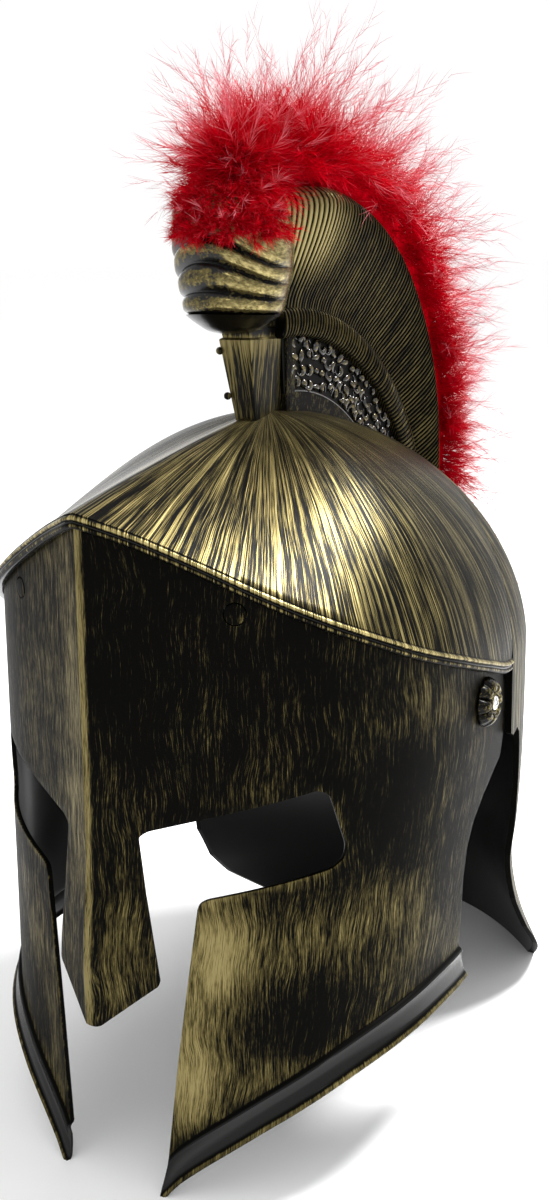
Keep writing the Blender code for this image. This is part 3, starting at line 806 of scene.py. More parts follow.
def back_offset(s, z):
    """How far the back shell's outside stands off the plan below the dome."""
    share = ease((abs(s) - EAR_S) / (PLAN_LENGTH - EAR_S) * 1.2)
    levels = [(-z_row, at_ear, behind) for z_row, at_ear, behind in BACK_LEVELS]
    levels.append((FLOOR_DEPTH, *FLOOR_OFFSETS))
    at_ear, behind = smooth_read(levels, -z)
    if -z > FLOOR_DEPTH:
        more = (-z - FLOOR_DEPTH) / (FLOOR_DEPTH + BACK_LEVELS[-1][0])
        at_ear += more * (FLOOR_OFFSETS[0] - BACK_LEVELS[-1][1])
        behind += more * (FLOOR_OFFSETS[1] - BACK_LEVELS[-1][2])
    return at_ear + (behind - at_ear) * share


def build_back_shell(form):
    columns = steps_between(-PLAN_LENGTH, PLAN_LENGTH, form.shell_columns)
    shares = steps_between(0.0, 1.0, form.shell_rows)
    heights = steps_between(BACK_LEVELS[0][0] + 6.0, GUARD_LOWEST, 64)
    levels = [("outside", share) for share in shares]
    levels += [("below", z) for z in heights]
    levels += [("below_inside", z) for z in heights[::-1]]
    levels += [("inside", share) for share in shares[::-1]]

    def place(s, level):
        kind, key = level
        if kind == "outside":
            return dome_surface(s, key), 0.0
        if kind == "inside":
            return dome_inside(s, key, BACK_WALL), 0.0
        inset = BACK_WALL if kind == "below_inside" else 0.0
        return beside_plan(s, back_offset(s, key) - inset, key), 0.0

    rows = mapped_rows(levels, lambda level: place(300.0, level)[0])
    bm = charted(columns, rows, place)
    line_inside(bm, rows[len(levels) // 2][0])
    close_ends(bm)
    seam_cut(bm, keep_front=False)
    floor_cut(bm)
    shell = settle(
        bm, "neck_guard_shell", ("back_gold", "black_plastic"), ("back_shell",)
    )
    left, right = (
        [Vector((x, y, z)) for y, z in EAR_OPENING] for x in (EAR_CUT_HALF, -EAR_CUT_HALF)
    )
    carve(shell, [skin([left, right])])


# ---------------------------------------------------------------- the face mask


def fine_edge(rows, count):
    """A smooth run of count steps through an edge's rows, in the rows' own order."""
    falling = rows[0][0] > rows[-1][0]
    table = rows[::-1] if falling else rows
    keys = steps_between(table[0][0], table[-1][0], count)
    run = [(key, smooth_read(table, key)[0]) for key in keys]
    return run[::-1] if falling else run


def flange_z(s):
    return smooth_read(FLANGE_TABLE, abs(s))[0]


def half_outline():
    """The mask's left half, flat, from the brow's peak round to the nose guard's tip."""
    top = steps_between(0.0, MASK_TOP_END, 54)
    outline = [(s, rim_z(s) - MASK_TUCK) for s in top]
    outline += MASK_REAR_EDGE
    outline += fine_edge(FLANGE_EDGE, 44)
    for edge in (CHEEK_FRONT_EDGE, EYE_SLOT_EDGE, NOSE_EDGE):
        outline += edge
    return outline


def split(bm, point, normal, chosen=None):
    """Scores faces along a plane: the chosen ones, or else all of them."""
    faces = bm.faces[:] if chosen is None else chosen
    geom = set(faces)
    for face in faces:
        geom.update(face.edges)
        geom.update(face.verts)
    bmesh.ops.bisect_plane(bm, geom=list(geom), dist=0.02, plane_co=point, plane_no=normal)


def crossed(bm, z):
    """The faces that a level line runs through."""
    found = []
    for face in bm.faces:
        heights = [vert.co.z for vert in face.verts]
        if min(heights) < z - 0.02 and max(heights) > z + 0.02:
            found.append(face)
    return found


def shift_to_lip(bm, sign):
    """Draws the flat mask straight along its bottom edge, or back again."""
    for vert in bm.verts:
        vert.co.z -= sign * flange_z(vert.co.x)


def mask_point(s, z, depth):
    """Bends a point of the flat mask onto its plan, depth behind its outer face."""
    offset = -depth
    height = (z - flange_z(s)) / FLANGE_BAND
    if abs(s) > CHEEK_FRONT_EDGE[0][0] - 0.4 and height < FLANGE_SECTION[-1][0]:
        offset += smooth_read(FLANGE_SECTION, height)[0]
    if abs(s) <= RIDGE_HALF + 0.01 and depth < 0.8:
        offset += STRIP_RISE
    if abs(s) <= NOSE_EDGE[1][0] + 0.01 and z > NOSE_EDGE[-1][1] - 0.1:
        start, end = NOSE_FLARE_Z
        flare = ease((start - z) / (start - end))
        offset += NOSE_FLARE * flare * (1 - abs(s) / 60.0)
    return on_mask(s, offset, z)


def distance_to_run(s, z, run):
    """How far a flat point is from a run of straight edges."""
    here = Vector((s, z))
    nearest = 1e9
    for (s0, z0), (s1, z1) in zip(run, run[1:]):
        start, span = Vector((s0, z0)), Vector((s1 - s0, z1 - z0))
        share = min(max((here - start).dot(span) / span.length_squared, 0.0), 1.0)
        nearest = min(nearest, (start + span * share - here).length)
    return nearest


MASK_SHADES = (  # s, z, how far it spreads along s and z, gold added or left off
    (10.0, -50.0, 20.0, 60.0, -0.14),
    (60.0, -50.0, 40.0, 26.0, -0.10),
    (45.0, -104.0, 44.0, 10.0, 0.10),
    (140.0, -78.0, 30.0, 14.0, 0.30),
    (176.0, -100.0, 16.0, 30.0, 0.16),
    (120.0, -108.0, 18.0, 18.0, -0.25),
    (126.0, -160.0, 36.0, 18.0, 0.34),
    (52.0, -168.0, 17.0, 24.0, 0.88),
    (40.0, -222.0, 15.0, 34.0, 0.94),
    (84.0, -162.0, 22.0, 14.0, 0.36),
    (90.0, -196.0, 22.0, 13.0, -0.10),
    (82.0, -222.0, 26.0, 10.0, 0.32),
    (156.0, -184.0, 30.0, 18.0, 0.30),
    (13.0, -168.0, 12.0, 36.0, 0.42),
    (-10.0, -90.0, 9.0, 100.0, 0.54),
    (-40.0, -70.0, 40.0, 70.0, 0.26),
    (-60.0, -180.0, 40.0, 30.0, 0.34),
    (-40.0, -230.0, 16.0, 30.0, 0.34),
)
LIP_SHADES = (  # share of the lip's height, gold added or left off
    (0.0, 0.2),
    (0.06, 0.5),
    (0.17, 0.6),
    (0.22, -0.5),
    (0.30, -1.00),
    (0.90, -1.00),
    (1.00, -0.60),
    (1.10, 0.25),
    (1.40, 0.12),
    (1.90, 0.0),
)


def mask_wear(s, z, depth):
    """How heavily the gold has been brushed on at a spot of the flat mask."""
    side = abs(s)
    if depth > 0.9:
        return -0.9
    if side <= RIDGE_HALF + 0.1:
        return 0.12 + 0.78 * (s < 0.4)
    gold_and_light_amount = 0.0
    for at_s, at_z, over_s, over_z, more in MASK_SHADES:
        if at_s * s > 0.0:
            gold_and_light_amount += more * math.exp(-(((s - at_s) / over_s) ** 2) - ((z - at_z) / over_z) ** 2)
    slot = distance_to_run(side, z, EYE_SLOT_EDGE[:6])
    gold_and_light_amount += 0.45 * math.exp(-slot / 1.2)
    if side > CHEEK_FRONT_EDGE[0][0]:
        height = (z - flange_z(s)) / FLANGE_BAND
        if height < LIP_SHADES[-1][0]:
            gold_and_light_amount = gold_and_light_amount * ease((height - 1.0) / 0.6) + read_table(LIP_SHADES, height)[0]
    return max(min(gold_and_light_amount, 1.0), -1.0)


def mask_plate(form):
    """The mask as a flat plate with rounded corners and edges, s across and z up."""
    bm = bmesh.new()
    half = half_outline()
    outline = half + [(-s, z) for s, z in reversed(half) if s > 0.0]
    face = bm.faces.new([bm.verts.new((s, 0.0, z)) for s, z in outline])
    if face.normal.y > 0.0:
        face.normal_flip()
    bmesh.ops.remove_doubles(bm, verts=bm.verts, dist=0.05)

    def sharpness(vert):
        before, after = (edge.other_vert(vert).co - vert.co for edge in vert.link_edges)
        return math.pi - before.angle(after)

    corners = [vert for vert in bm.verts if sharpness(vert) > 0.25]
    bmesh.ops.bevel(
        bm, geom=corners, offset=form.corner_radius, offset_type="OFFSET", segments=4,
        profile=0.5, affect="VERTICES", material=-1,
    )
    pushed = bmesh.ops.extrude_face_region(bm, geom=bm.faces[:], use_keep_orig=True)
    inner = [item for item in pushed["geom"] if isinstance(item, bmesh.types.BMVert)]
    bmesh.ops.translate(bm, verts=inner, vec=(0.0, MASK_WALL, 0.0))
    bmesh.ops.recalc_face_normals(bm, faces=bm.faces)
    rims = [
        edge for edge in bm.edges
        if abs(edge.verts[0].co.y - edge.verts[1].co.y) < 1e-4
    ]
    bmesh.ops.bevel(
        bm, geom=rims, offset=form.edge_radius, offset_type="OFFSET", segments=2,
        profile=0.5, affect="EDGES", material=-1, clamp_overlap=True,
    )
    return bm


def score_plate(bm, spacing):
    """Scores the flat plate along the lines that it will bend at."""
    lines = {RIDGE_HALF, RIDGE_HALF + STRIP_EDGE, NOSE_EDGE[1][0] + 0.3}
    lines |= set(steps_between(spacing, MASK_LINES_END, int(MASK_LINES_END / spacing)))
    for s in sorted(lines):
        for side in (1, -1):
            split(bm, (side * s, 0.0, 0.0), (1.0, 0.0, 0.0))
    split(bm, (0.0, 0.0, 0.0), (1.0, 0.0, 0.0))
    shift_to_lip(bm, 1)
    for share, _ in FLANGE_SECTION[1:]:
        level = share * FLANGE_BAND
        split(bm, (0.0, 0.0, level), (0.0, 0.0, 1.0), crossed(bm, level))
    above = FLANGE_BAND * FLANGE_SECTION[-1][0]
    shift_to_lip(bm, -1)
    first, last = MASK_LEVELS
    for z in steps_between(first, last, int((first - last) / spacing)):
        chosen = [
            face for face in crossed(bm, z)
            if min(vert.co.z - flange_z(vert.co.x) for vert in face.verts) > above - 0.1
        ]
        split(bm, (0.0, 0.0, z), (0.0, 0.0, 1.0), chosen)
    bmesh.ops.remove_doubles(bm, verts=bm.verts, dist=0.01)
    big = [f for f in bm.faces if len(f.verts) > 4]
    bmesh.ops.triangulate(bm, faces=big, quad_method="BEAUTY", ngon_method="BEAUTY")


def build_face_mask(form):
    bm = mask_plate(form)
    score_plate(bm, form.mask_spacing)
    chart = bm.loops.layers.uv.new("UVMap")
    gold_and_painted_light = bm.verts.layers.float.new("gold_and_painted_light")
    for face in bm.faces:
        if face.calc_center_median().y > MASK_WALL - 0.2:
            face.material_index = 1
        for loop in face.loops:
            loop[chart].uv = (loop.vert.co.x * CHART_SCALE, loop.vert.co.z * CHART_SCALE)
    for vert in bm.verts:
        s, depth, z = vert.co
        vert[gold_and_painted_light] = mask_wear(s, z, depth)
        vert.co = mask_point(s, z, depth)
    floor_cut(bm)
    mask = settle(
        bm, "mask_shell", ("mask_gold", "black_plastic"), ("face_mask",), 35.0
    )
    holes = [
        revolved(profile, 32, mask_frame(side, spot))
        for side in (1, -1)
        for profile, spot in ((PEG_HOLE, PEG_SPOT), (SCREW_HOLE, ROSETTE_SPOT))
    ]
    carve(mask, [joined(holes)])


# ---------------------------------------------------------------- fasteners


def side_name(side):
    return "left" if side > 0 else "right"


def build_pegs():
    for side in (1, -1):
        peg = revolved(PEG_PROFILE, 48, mask_frame(side, PEG_SPOT))
        box_map(peg)
        name = side_name(side)
        replaced = (f"forehead_peg_{name}",)
        settle(peg, f"peg_{name}", ("peg_black",), replaced, 50.0)


def build_rosettes():
    """Domed flowers: each petal ends in three lobes and carries two veins."""
    around = ROSETTE_PETALS * 24
    for side in (1, -1):
        rings = []
        for radius, offset, scallop in ROSETTE_SECTION:
            ring = []
            for index in range(around):
                turn = 2 * math.pi * index / around
                dip = 1 - abs(math.cos(ROSETTE_PETALS * turn / 2))
                lobe = 1 - abs(math.cos(3 * ROSETTE_PETALS * turn / 2))
                vein = math.cos(ROSETTE_PETALS * turn) ** 2
                reach = radius * (1 - SCALLOP * scallop * dip - 0.035 * scallop * lobe)
                rise = GAP + (offset - GAP) * (1 - 0.42 * min(scallop, 0.9) * dip**1.5)
                rise -= 0.35 * scallop * vein * ease((radius - 4.8) / 1.5) * (offset > 1.5)
                ring.append(Vector((reach * math.cos(turn), reach * math.sin(turn), rise)))
            rings.append(ring)
        bm = skin(rings, looped=True)
        paint_gold_and_light(bm, lambda co: 0.55 * ease((co.z - 2.8) / 2.2))
        bmesh.ops.transform(bm, matrix=mask_frame(side, ROSETTE_SPOT), verts=bm.verts)
        box_map(bm)
        name = side_name(side)
        replaced = (f"rosette_{name}",)
        settle(bm, f"flower_{name}", ("rosette_gold",), replaced, 50.0)


def build_screws():
    length, width, depth = SCREW_SLOT
    for side in (1, -1):
        frame_here = mask_frame(side, ROSETTE_SPOT)
        bm = revolved(SCREW_PROFILE, 48, frame_here)
        box_map(bm)
        name = side_name(side)
        replaced = (f"rosette_screw_{name}",)
        screw = settle(bm, f"screw_{name}", ("zinc",), replaced, 35.0)
        slots = []
        for turn in (0.4, 0.4 + math.pi / 2):
            slot = bmesh.new()
            bmesh.ops.create_cube(slot, size=1.0)
            shape = Matrix.Rotation(turn, 4, "Z") @ Matrix.Diagonal((length, width, depth, 1.0))
            place = Matrix.Translation((0.0, 0.0, SCREW_PROFILE[0][1]))
            bmesh.ops.transform(slot, matrix=frame_here @ place @ shape, verts=slot.verts)
            slots.append(slot)
        carve(screw, slots)


# ---------------------------------------------------------------- the crest


def rib_lean(angle):
    """How far a rib that starts at this angle has swept on by the outer edge, in degrees."""
    return 6.5 * ease((angle - CREST_SECTIONS[0][0]) / 14.0) * max(1.0 - angle / 100.0, 0.0)


def crest_edge(angle):
    """Radius and half-width of the crest's outer edge, where its swept ribs end."""
    foot = angle
    for _ in range(5):
        foot = angle - rib_lean(foot)
    return smooth_read(CREST_SECTIONS, foot)


def build_crest_body(form):
    """The flared horn above the waist, its sides carved into fine ribs that fan outwards."""
    start, end = CREST_SECTIONS[0][0], CREST_SECTIONS[-1][0] + 2.0
    ribs = round((end - start) / form.rib_pitch)
    columns = steps_between(start, end, ribs * 7)
    rises = steps_between(-0.10, 1.0, 22)
    levels = [(rise, 1) for rise in rises] + [(rise, -1) for rise in rises[::-1]]
    chance = random.Random(RIB_SEED)
    depths = [chance.uniform(0.65, 1.15) for _ in range(ribs + 2)]

    def half_width(angle, rise):
        half = smooth_read(CREST_SECTIONS, min(angle, CREST_SECTIONS[-1][0]))[1]
        half *= 1.0 - 0.30 * ease((angle - 88.0) / 14.0)
        return half * smooth_read(CREST_PROFILE, rise)[0]

    def place(angle, level):
        rise, side = level
        outer = smooth_read(CREST_SECTIONS, min(angle, CREST_SECTIONS[-1][0]))[0]
        swept = angle + rib_lean(angle) * max(rise, 0.0) ** 1.2
        phase = (angle - start) / (end - start) * ribs
        depth = form.rib_depth * depths[int(phase)] * ease(rise / 0.15 + 0.3)
        ridge = wave(phase)
        swept = min(max(swept, start), end + 2.0)
        radius = CREST_WAIST + (outer - CREST_WAIST) * rise
        x = half_width(angle, rise)
        x += (ridge - 1.0) * depth * (1.0 - 0.75 * ease((rise - 0.9) / 0.1))
        # Thicker gold at the crest's front top, partly a painted highlight there, and a little
        # more towards its back end.
        thick_gold_and_highlight = 1.2 * ease((angle - 78.0) / 16.0) * ease((rise - 0.1) / 0.5)
        thick_gold_and_highlight += 0.25 * ease((20.0 - angle) / 14.0)
        gold_and_light_amount = max(-0.88 + (1.05 + thick_gold_and_highlight) * ridge**1.3, -0.5)
        return about_crest(swept, radius, side * x), gold_and_light_amount

    rows = mapped_rows(levels, lambda level: place(60.0, level)[0])
    bm = charted(columns, rows, place)
    stretch_map(bm, math.radians(CREST_MAP_RADIUS))
    close_ends(bm)
    settle(bm, "crest_body", ("crest_gold",), ("crest",), 60.0)


def band_sheet(inner, outer, half, start, end, steps, press):
    """An arc of the fan under the crest, closed, its face pressed in where press says."""
    depths = [inner, inner] + steps_between(inner + 0.6, outer - 1.2, 14)
    section = [(radius, half) for radius in depths[1:]]
    section += [(outer - 0.35, half - 0.35), (outer, half - 1.2)]
    levels = section + [(radius, -x) for radius, x in section[::-1]]

    def place(angle, level):
        radius, x = level
        side = 1 if x > 0 else -1
        lift, gold_and_light_amount = press(angle, radius)
        return about_crest(angle, radius, x + side * lift), gold_and_light_amount

    rows = mapped_rows(levels, lambda level: about_crest(45.0, *level))
    bm = charted(steps_between(start, end, steps), rows, place)
    stretch_map(bm, math.radians((inner + outer) / 2))
    return close_ends(bm)


def build_fan(form):
    """The fan between the crest's waist and the dome: plain, scrolled and roped arcs."""
    plain_arc, scrolled, roped = FAN_BANDS
    lower = band_sheet(*plain_arc, 180, lambda angle, radius: (-1.0, -0.05))
    settle(lower, "fan_plain_band", ("crest_dark",))
    panel = band_sheet(*scrolled, 180, lambda angle, radius: (0.0, -0.5))
    settle(panel, "fan_panel", ("crest_dark",))
    inner, outer, _, start, end = roped
    strands = round((end - start) * math.pi / 180.0 * outer / form.rope_pitch)

    def rope(angle, radius):
        across = (radius - inner) / (outer - inner)
        ridge = wave((angle - start) / (end - start) * strands + 0.4 * across)
        belly = math.sin(math.pi * min(max(across, 0.0), 1.0)) ** 0.5
        lift = 2.8 * belly * (0.05 + 0.95 * ridge) - 1.6
        return lift, max(-0.95 + 1.15 * ridge**1.5, -0.7)

    band = band_sheet(*roped, strands * 7, rope)
    settle(band, "fan_rope_band", ("crest_gold",), (), 60.0)


def tube(points, radii, sides=8):
    """A round bar through points, its ends closed flat."""
    rings = []
    for index, point in enumerate(points):
        before, after = points[max(index - 1, 0)], points[min(index + 1, len(points) - 1)]
        along = (after - before).normalized()
        out = along.cross(Vector((1.0, 0.0, 0.0))).normalized()
        lift = out.cross(along)
        ring = []
        for side in range(sides):
            turn = 2 * math.pi * side / sides
            reach = out * math.cos(turn) + lift * math.sin(turn)
            ring.append(point + reach * radii[index])
        rings.append(ring)
    return skin(rings)


def curl(centre, size, thick, turn, hand):
    """A comma: a fat curl that thins out into its tail, in the fan's own plane."""
    points, radii = [], []
    for share in steps_between(0.0, 1.0, 12):
        way = turn + hand * 4.6 * share
        reach = size * (0.25 + 0.75 * share)
        points.append(centre + Vector((0.0, reach * math.cos(way), reach * math.sin(way))))
        radii.append(thick * (0.25 + 0.9 * math.sin(math.pi * min(share + 0.15, 1.0)) ** 0.7))
    return tube(points, radii, 7)


def bar(centre, size, thick, turn):
    """A short leaf, fat in its middle."""
    way = Vector((0.0, math.cos(turn), math.sin(turn)))
    shares = steps_between(-1.0, 1.0, 6)
    points = [centre + way * (size * share) for share in shares]
    return tube(points, [thick * (1.15 - share * share) for share in shares], 7)


def bead(point, size):
    bm = bmesh.new()
    bmesh.ops.create_icosphere(bm, subdivisions=2, radius=size)
    bmesh.ops.translate(bm, verts=bm.verts, vec=point)
    return bm


def build_scrollwork():
    """Curls, leaves and buds crowded in relief along the panel, on both of its sides."""
    inner, outer, half, start, end = FAN_BANDS[1]
    chance = random.Random(SCROLL_SEED)
    parts = []
    for side in (1, -1):
        x = side * (half + 0.1)
        for row, radius in enumerate(steps_between(inner + 4.0, outer - 3.6, 3)):
            step = math.degrees(5.8 / radius)
            angle = start + 2.0 + row % 2 * step / 2
            while angle < end - 5.0:
                centre = about_crest(
                    angle + chance.uniform(-0.7, 0.7), radius + chance.uniform(-1.0, 1.0), x
                )
                turn = chance.uniform(0.0, 6.28)
                kind = chance.random()
                if kind < 0.5:
                    hand = chance.choice((-1, 1))
                    parts.append(curl(centre, 3.1, chance.uniform(1.25, 1.55), turn, hand))
                elif kind < 0.8:
                    parts.append(bar(centre, 3.6, chance.uniform(1.4, 1.8), turn))
                else:
                    parts.append(bead(centre, chance.uniform(1.6, 2.2)))
                angle += step
        run = steps_between(start + 1.0, end - 5.0, 90)
        for radius in (inner + 0.7, outer - 0.3):
            points = [about_crest(angle, radius, x) for angle in run]
            parts.append(tube(points, [0.7] * len(points)))
    bm = joined(parts)
    paint_gold_and_light(bm, lambda co: -0.80 + 0.95 * ease((abs(co.x) - half - 0.1) / 1.3))
    box_map(bm)
    settle(bm, "fan_scrollwork", ("relief_gold",), (), 60.0, 0.0)


def foot_gold_and_highlight(spot):
    """A painted highlight along the foot's lip, thicker gold on its front, and no gold in the neck
    above.
    """
    # lip: extra gold that is a painted highlight along the lip's top edge.
    lip = ease((spot.z - 57.0) / 3.0) * ease((62.5 - spot.z) / 1.5)
    front = ease((112.0 - spot.y) / 5.0)
    neck = ease((spot.z - 61.8) / 1.0)
    return max(0.5 * lip + 0.26 * front - 1.2 * neck, -0.5)


def build_foot():
    """The block in front of the fan that carries the bulge, with its border strip and studs."""
    rings = []
    for z, half, front in FOOT_ROWS:
        corners = ((half, front), (half, FOOT_BACK_Y), (-half, FOOT_BACK_Y), (-half, front))
        rings.append([Vector((x, y, z)) for x, y in corners])
    bm = skin(rings)
    upright = [
        edge for edge in bm.edges
        if abs(edge.verts[0].co.z - edge.verts[1].co.z) > 3.0
        and max(vert.co.y for vert in edge.verts) < FOOT_BACK_Y - 5.0
    ]
    bmesh.ops.bevel(
        bm, geom=upright, offset=0.7, offset_type="OFFSET", segments=3, profile=0.5,
        affect="EDGES", material=-1,
    )
    bmesh.ops.subdivide_edges(bm, edges=bm.edges[:], cuts=3, use_grid_fill=True)
    paint_gold_and_light(bm, foot_gold_and_highlight)
    box_map(bm)
    settle(bm, "crest_foot", ("foot_gold",), (), 35.0)
    studs = joined([bead(Vector(spot), STUD_RADIUS) for spot in STUDS])
    box_map(studs)
    settle(studs, "crest_studs", ("foot_gold",))
    strips = []
    (inner, near, far), rows = BORDER_STRIP
    for side in (1, -1):
        rings = []
        for z, half in rows:
            corners = ((inner, near), (half, near), (half, far), (inner, far))
            rings.append([Vector((side * x, y, z)) for x, y in corners])
        strip = skin(rings)
        bmesh.ops.bevel(
            strip, geom=strip.edges[:], offset=0.5, offset_type="OFFSET", segments=2,
            profile=0.5, affect="EDGES", material=-1,
        )
        strips.append(strip)
    border = joined(strips)
    box_map(border)
    settle(border, "fan_border_strip", ("crest_dark",))


def bulge_point(turn, z):
    """A point on the bulge: turn in degrees from the front, and how deep it is in a fold."""
    angle = math.radians(turn)
    ahead = max(math.cos(angle), 0.0) ** 2
    share, lift = smooth_read(BULGE_OUTLINE, z)
    share = max(share, 0.0)
    fold = 0.0
    if BULGE_ROLLS[0][0] < z < BULGE_ROLLS[-1][0]:
        fold = 1.0 - abs(math.sin(math.pi * read_table(BULGE_ROLLS, z)[0]))
        fold *= ease((130.0 - abs(turn)) / 50.0) * ease((BULGE_ROLLS[-1][0] - z) / 6.0)
    across, along = BULGE_REACH
    share *= 1.0 - 0.085 * fold**1.5
    x = across * share * math.sin(angle)
    return Vector((x, BULGE_CENTRE_Y - along * share * math.cos(angle), z + lift * ahead)), fold


def build_bulge():
    """The rounded head at the front of the crest, rolled into folds below the feathers."""
    levels = [63.0, 63.15, 63.4, 63.8] + steps_between(64.4, 98.0, 150)
    levels += steps_between(98.6, 125.0, 40) + [125.4, 125.7, 125.9, 126.0]

    def place(turn, z):
        point, fold = bulge_point(turn, z)
        # Folds are left dark. The turn term is a painted highlight on the bulge's left side, and
        # the drop below z 72 is a painted shade on its underside.
        gold_and_light_amount = 0.26 - 1.05 * fold**1.4 + 0.25 * ease((turn - 10.0) / 50.0)
        return point, max(gold_and_light_amount - 0.9 * ease((72.0 - z) / 1.5), -0.5)

    bm = charted(steps_between(-180.0, 180.0, 150), [(z, z) for z in levels], place)
    stretch_map(bm, BULGE_MAP_SCALE)
    close_ends(bm)
    settle(bm, "crest_bulge", ("bulge_gold",), (), 60.0)


# ---------------------------------------------------------------- the plume


def plume_core():
    """The cord of down that lies on the crest's outer edge, under the loose feathers."""
    angles = steps_between(PLUME_SECTIONS[0][0], CORE_END, 90)
    chance = random.Random(CORE_SEED)
    rings = []
    for angle in angles:
        outer, half, _ = smooth_read(PLUME_SECTIONS, angle)
        edge, edge_half = crest_edge(angle)
        inner = edge + PLUME_SEAT
        half = max(half, 0.8 * edge_half)
        slim = 1.0 - 0.8 * ease((angle - 84.0) / 12.0)
        outer, half = inner + (outer - inner) * slim, half * slim
        spring = inner + 0.3 * (outer - inner)
        section = [(inner, -0.8 * half)]
        for turn in steps_between(-math.pi / 2, math.pi / 2, 16):
            swell = 1.0 + chance.uniform(-0.06, 0.10)
            reach = (outer - spring) * math.cos(turn) * swell
            section.append((spring + reach, half * math.sin(turn) * swell))
        section.append((inner, 0.8 * half))
        rings.append([about_crest(angle, radius, x) for radius, x in section])
    bm = skin(rings)
    paint_gold_and_light(bm, lambda co: 0.0)
    box_map(bm)
    settle(bm, "plume_core", ("down_core",), ("plume",), 80.0)


def unit(rows):
    return rows / np.maximum(np.linalg.norm(rows, axis=1, keepdims=True), 1e-9)


def strand_points(roots, ways, lengths, curls, steps):
    """Points along many curved strands: an array of strand, step, xyz."""
    along = np.linspace(0.0, 1.0, steps + 1)[None, :, None]
    reach = lengths[:, None, None]
    points = roots[:, None, :] + ways[:, None, :] * along * reach
    return points + curls[:, None, :] * (along**2) * reach


def strand_piece(name, points, widths, tints, material):
    """One mesh of flat tapering strands, each narrowing to a point."""
    count, steps = points.shape[0], points.shape[1] - 1
    along = np.linspace(0.0, 1.0, steps + 1)
    way = unit((points[:, -1] - points[:, 0]))
    rng = np.random.default_rng(count)
    across = unit(np.cross(way, rng.normal(size=(count, 3))))
    taper = (1.0 - 0.75 * along[:-1] ** 1.5)[None, :, None]
    reach = across[:, None, :] * widths[:, None, None] * taper / 2
    left, right = points[:, :-1] - reach, points[:, :-1] + reach
    body = np.stack([left, right], axis=2).reshape(count, steps * 2, 3)
    verts = np.concatenate([body, points[:, -1:]], axis=1)
    per = steps * 2 + 1
    base = (np.arange(count) * per)[:, None]
    quads = np.array([[2 * k, 2 * k + 1, 2 * k + 3, 2 * k + 2] for k in range(steps - 1)])
    quad_loops = (base[:, :, None] + quads[None]).reshape(-1)
    tip = np.array([2 * steps - 2, 2 * steps - 1, 2 * steps])
    tip_loops = (base + tip[None]).reshape(-1)
    loops = np.concatenate([quad_loops, tip_loops]).astype(np.int32)
    sizes = np.concatenate([
        np.full(count * (steps - 1), 4), np.full(count, 3)
    ]).astype(np.int32)
    starts = np.concatenate([[0], np.cumsum(sizes)[:-1]]).astype(np.int32)
    matrix = np.array(STANDING)
    placed = verts.reshape(-1, 3) @ matrix[:3, :3].T + matrix[:3, 3]
    mesh = bpy.data.meshes.new(name)
    mesh.vertices.add(len(placed))
    mesh.vertices.foreach_set("co", placed.astype(np.float32).reshape(-1))
    mesh.loops.add(len(loops))
    mesh.loops.foreach_set("vertex_index", loops)
    mesh.polygons.add(len(sizes))
    mesh.polygons.foreach_set("loop_start", starts)
    heights = np.concatenate([np.repeat(along[:-1], 2), [1.0]])
    spots = np.stack([
        np.repeat(tints, per), np.tile(heights, count)
    ], axis=1)
    chart = mesh.uv_layers.new(name="UVMap")
    chart.data.foreach_set("uv", spots[loops].astype(np.float32).reshape(-1))
    mesh.update(calc_edges=True)
    mesh.validate()
    mesh.materials.append(bpy.data.materials[material])
    mesh.shade_smooth()
    return place_piece(mesh, name, ())


def crest_points(angles, radii, xs):
    turn = np.radians(angles)
    return np.stack([
        xs, CREST_CENTRE[0] + radii * np.cos(turn), CREST_CENTRE[1] + radii * np.sin(turn)
    ], axis=1)


def plume_columns(angles):
    """The plume's outer radius, half-width and feather length at many angles."""
    keys = np.linspace(PLUME_SECTIONS[0][0], PLUME_SECTIONS[-1][0], 106)
    table = np.array([smooth_read(PLUME_SECTIONS, float(key)) for key in keys])
    return [np.interp(angles, keys, column) for column in table.T]


def crest_roots(rng, count, start, end):
    """Quills along the crest's outer edge: where each springs from, its way and its length."""
    angles = rng.uniform(start, end, count)
    outer, half, length = plume_columns(angles)
    edge, edge_half = np.array([crest_edge(float(angle)) for angle in angles]).T
    inner = edge + PLUME_SEAT
    half = 0.45 * half + 0.5 * edge_half
    tilt = rng.uniform(-1.0, 1.0, count) * math.radians(88.0)
    middle = inner + 0.35 * (outer - inner)
    radii = middle + (np.cos(tilt) - 0.35) * (outer - middle) * 0.8
    roots = crest_points(angles, radii, np.sin(tilt) * half)
    turn = np.radians(angles)
    out = np.stack([np.zeros(count), np.cos(turn), np.sin(turn)], axis=1)
    along = np.stack([np.zeros(count), -np.sin(turn), np.cos(turn)], axis=1)
    side = np.tile([1.0, 0.0, 0.0], (count, 1))
    ways = out * np.cos(tilt)[:, None] + side * (np.sin(tilt) * 0.9)[:, None]
    ways = ways + along * rng.normal(0.0, 0.33, (count, 1)) + rng.normal(0.0, 0.18, (count, 3))
    fall = np.clip((20.0 - angles) / 8.0, 0.0, 1.0)
    ways = ways - along * (1.3 * fall)[:, None]
    return roots, unit(ways), length + 24.0 * fall


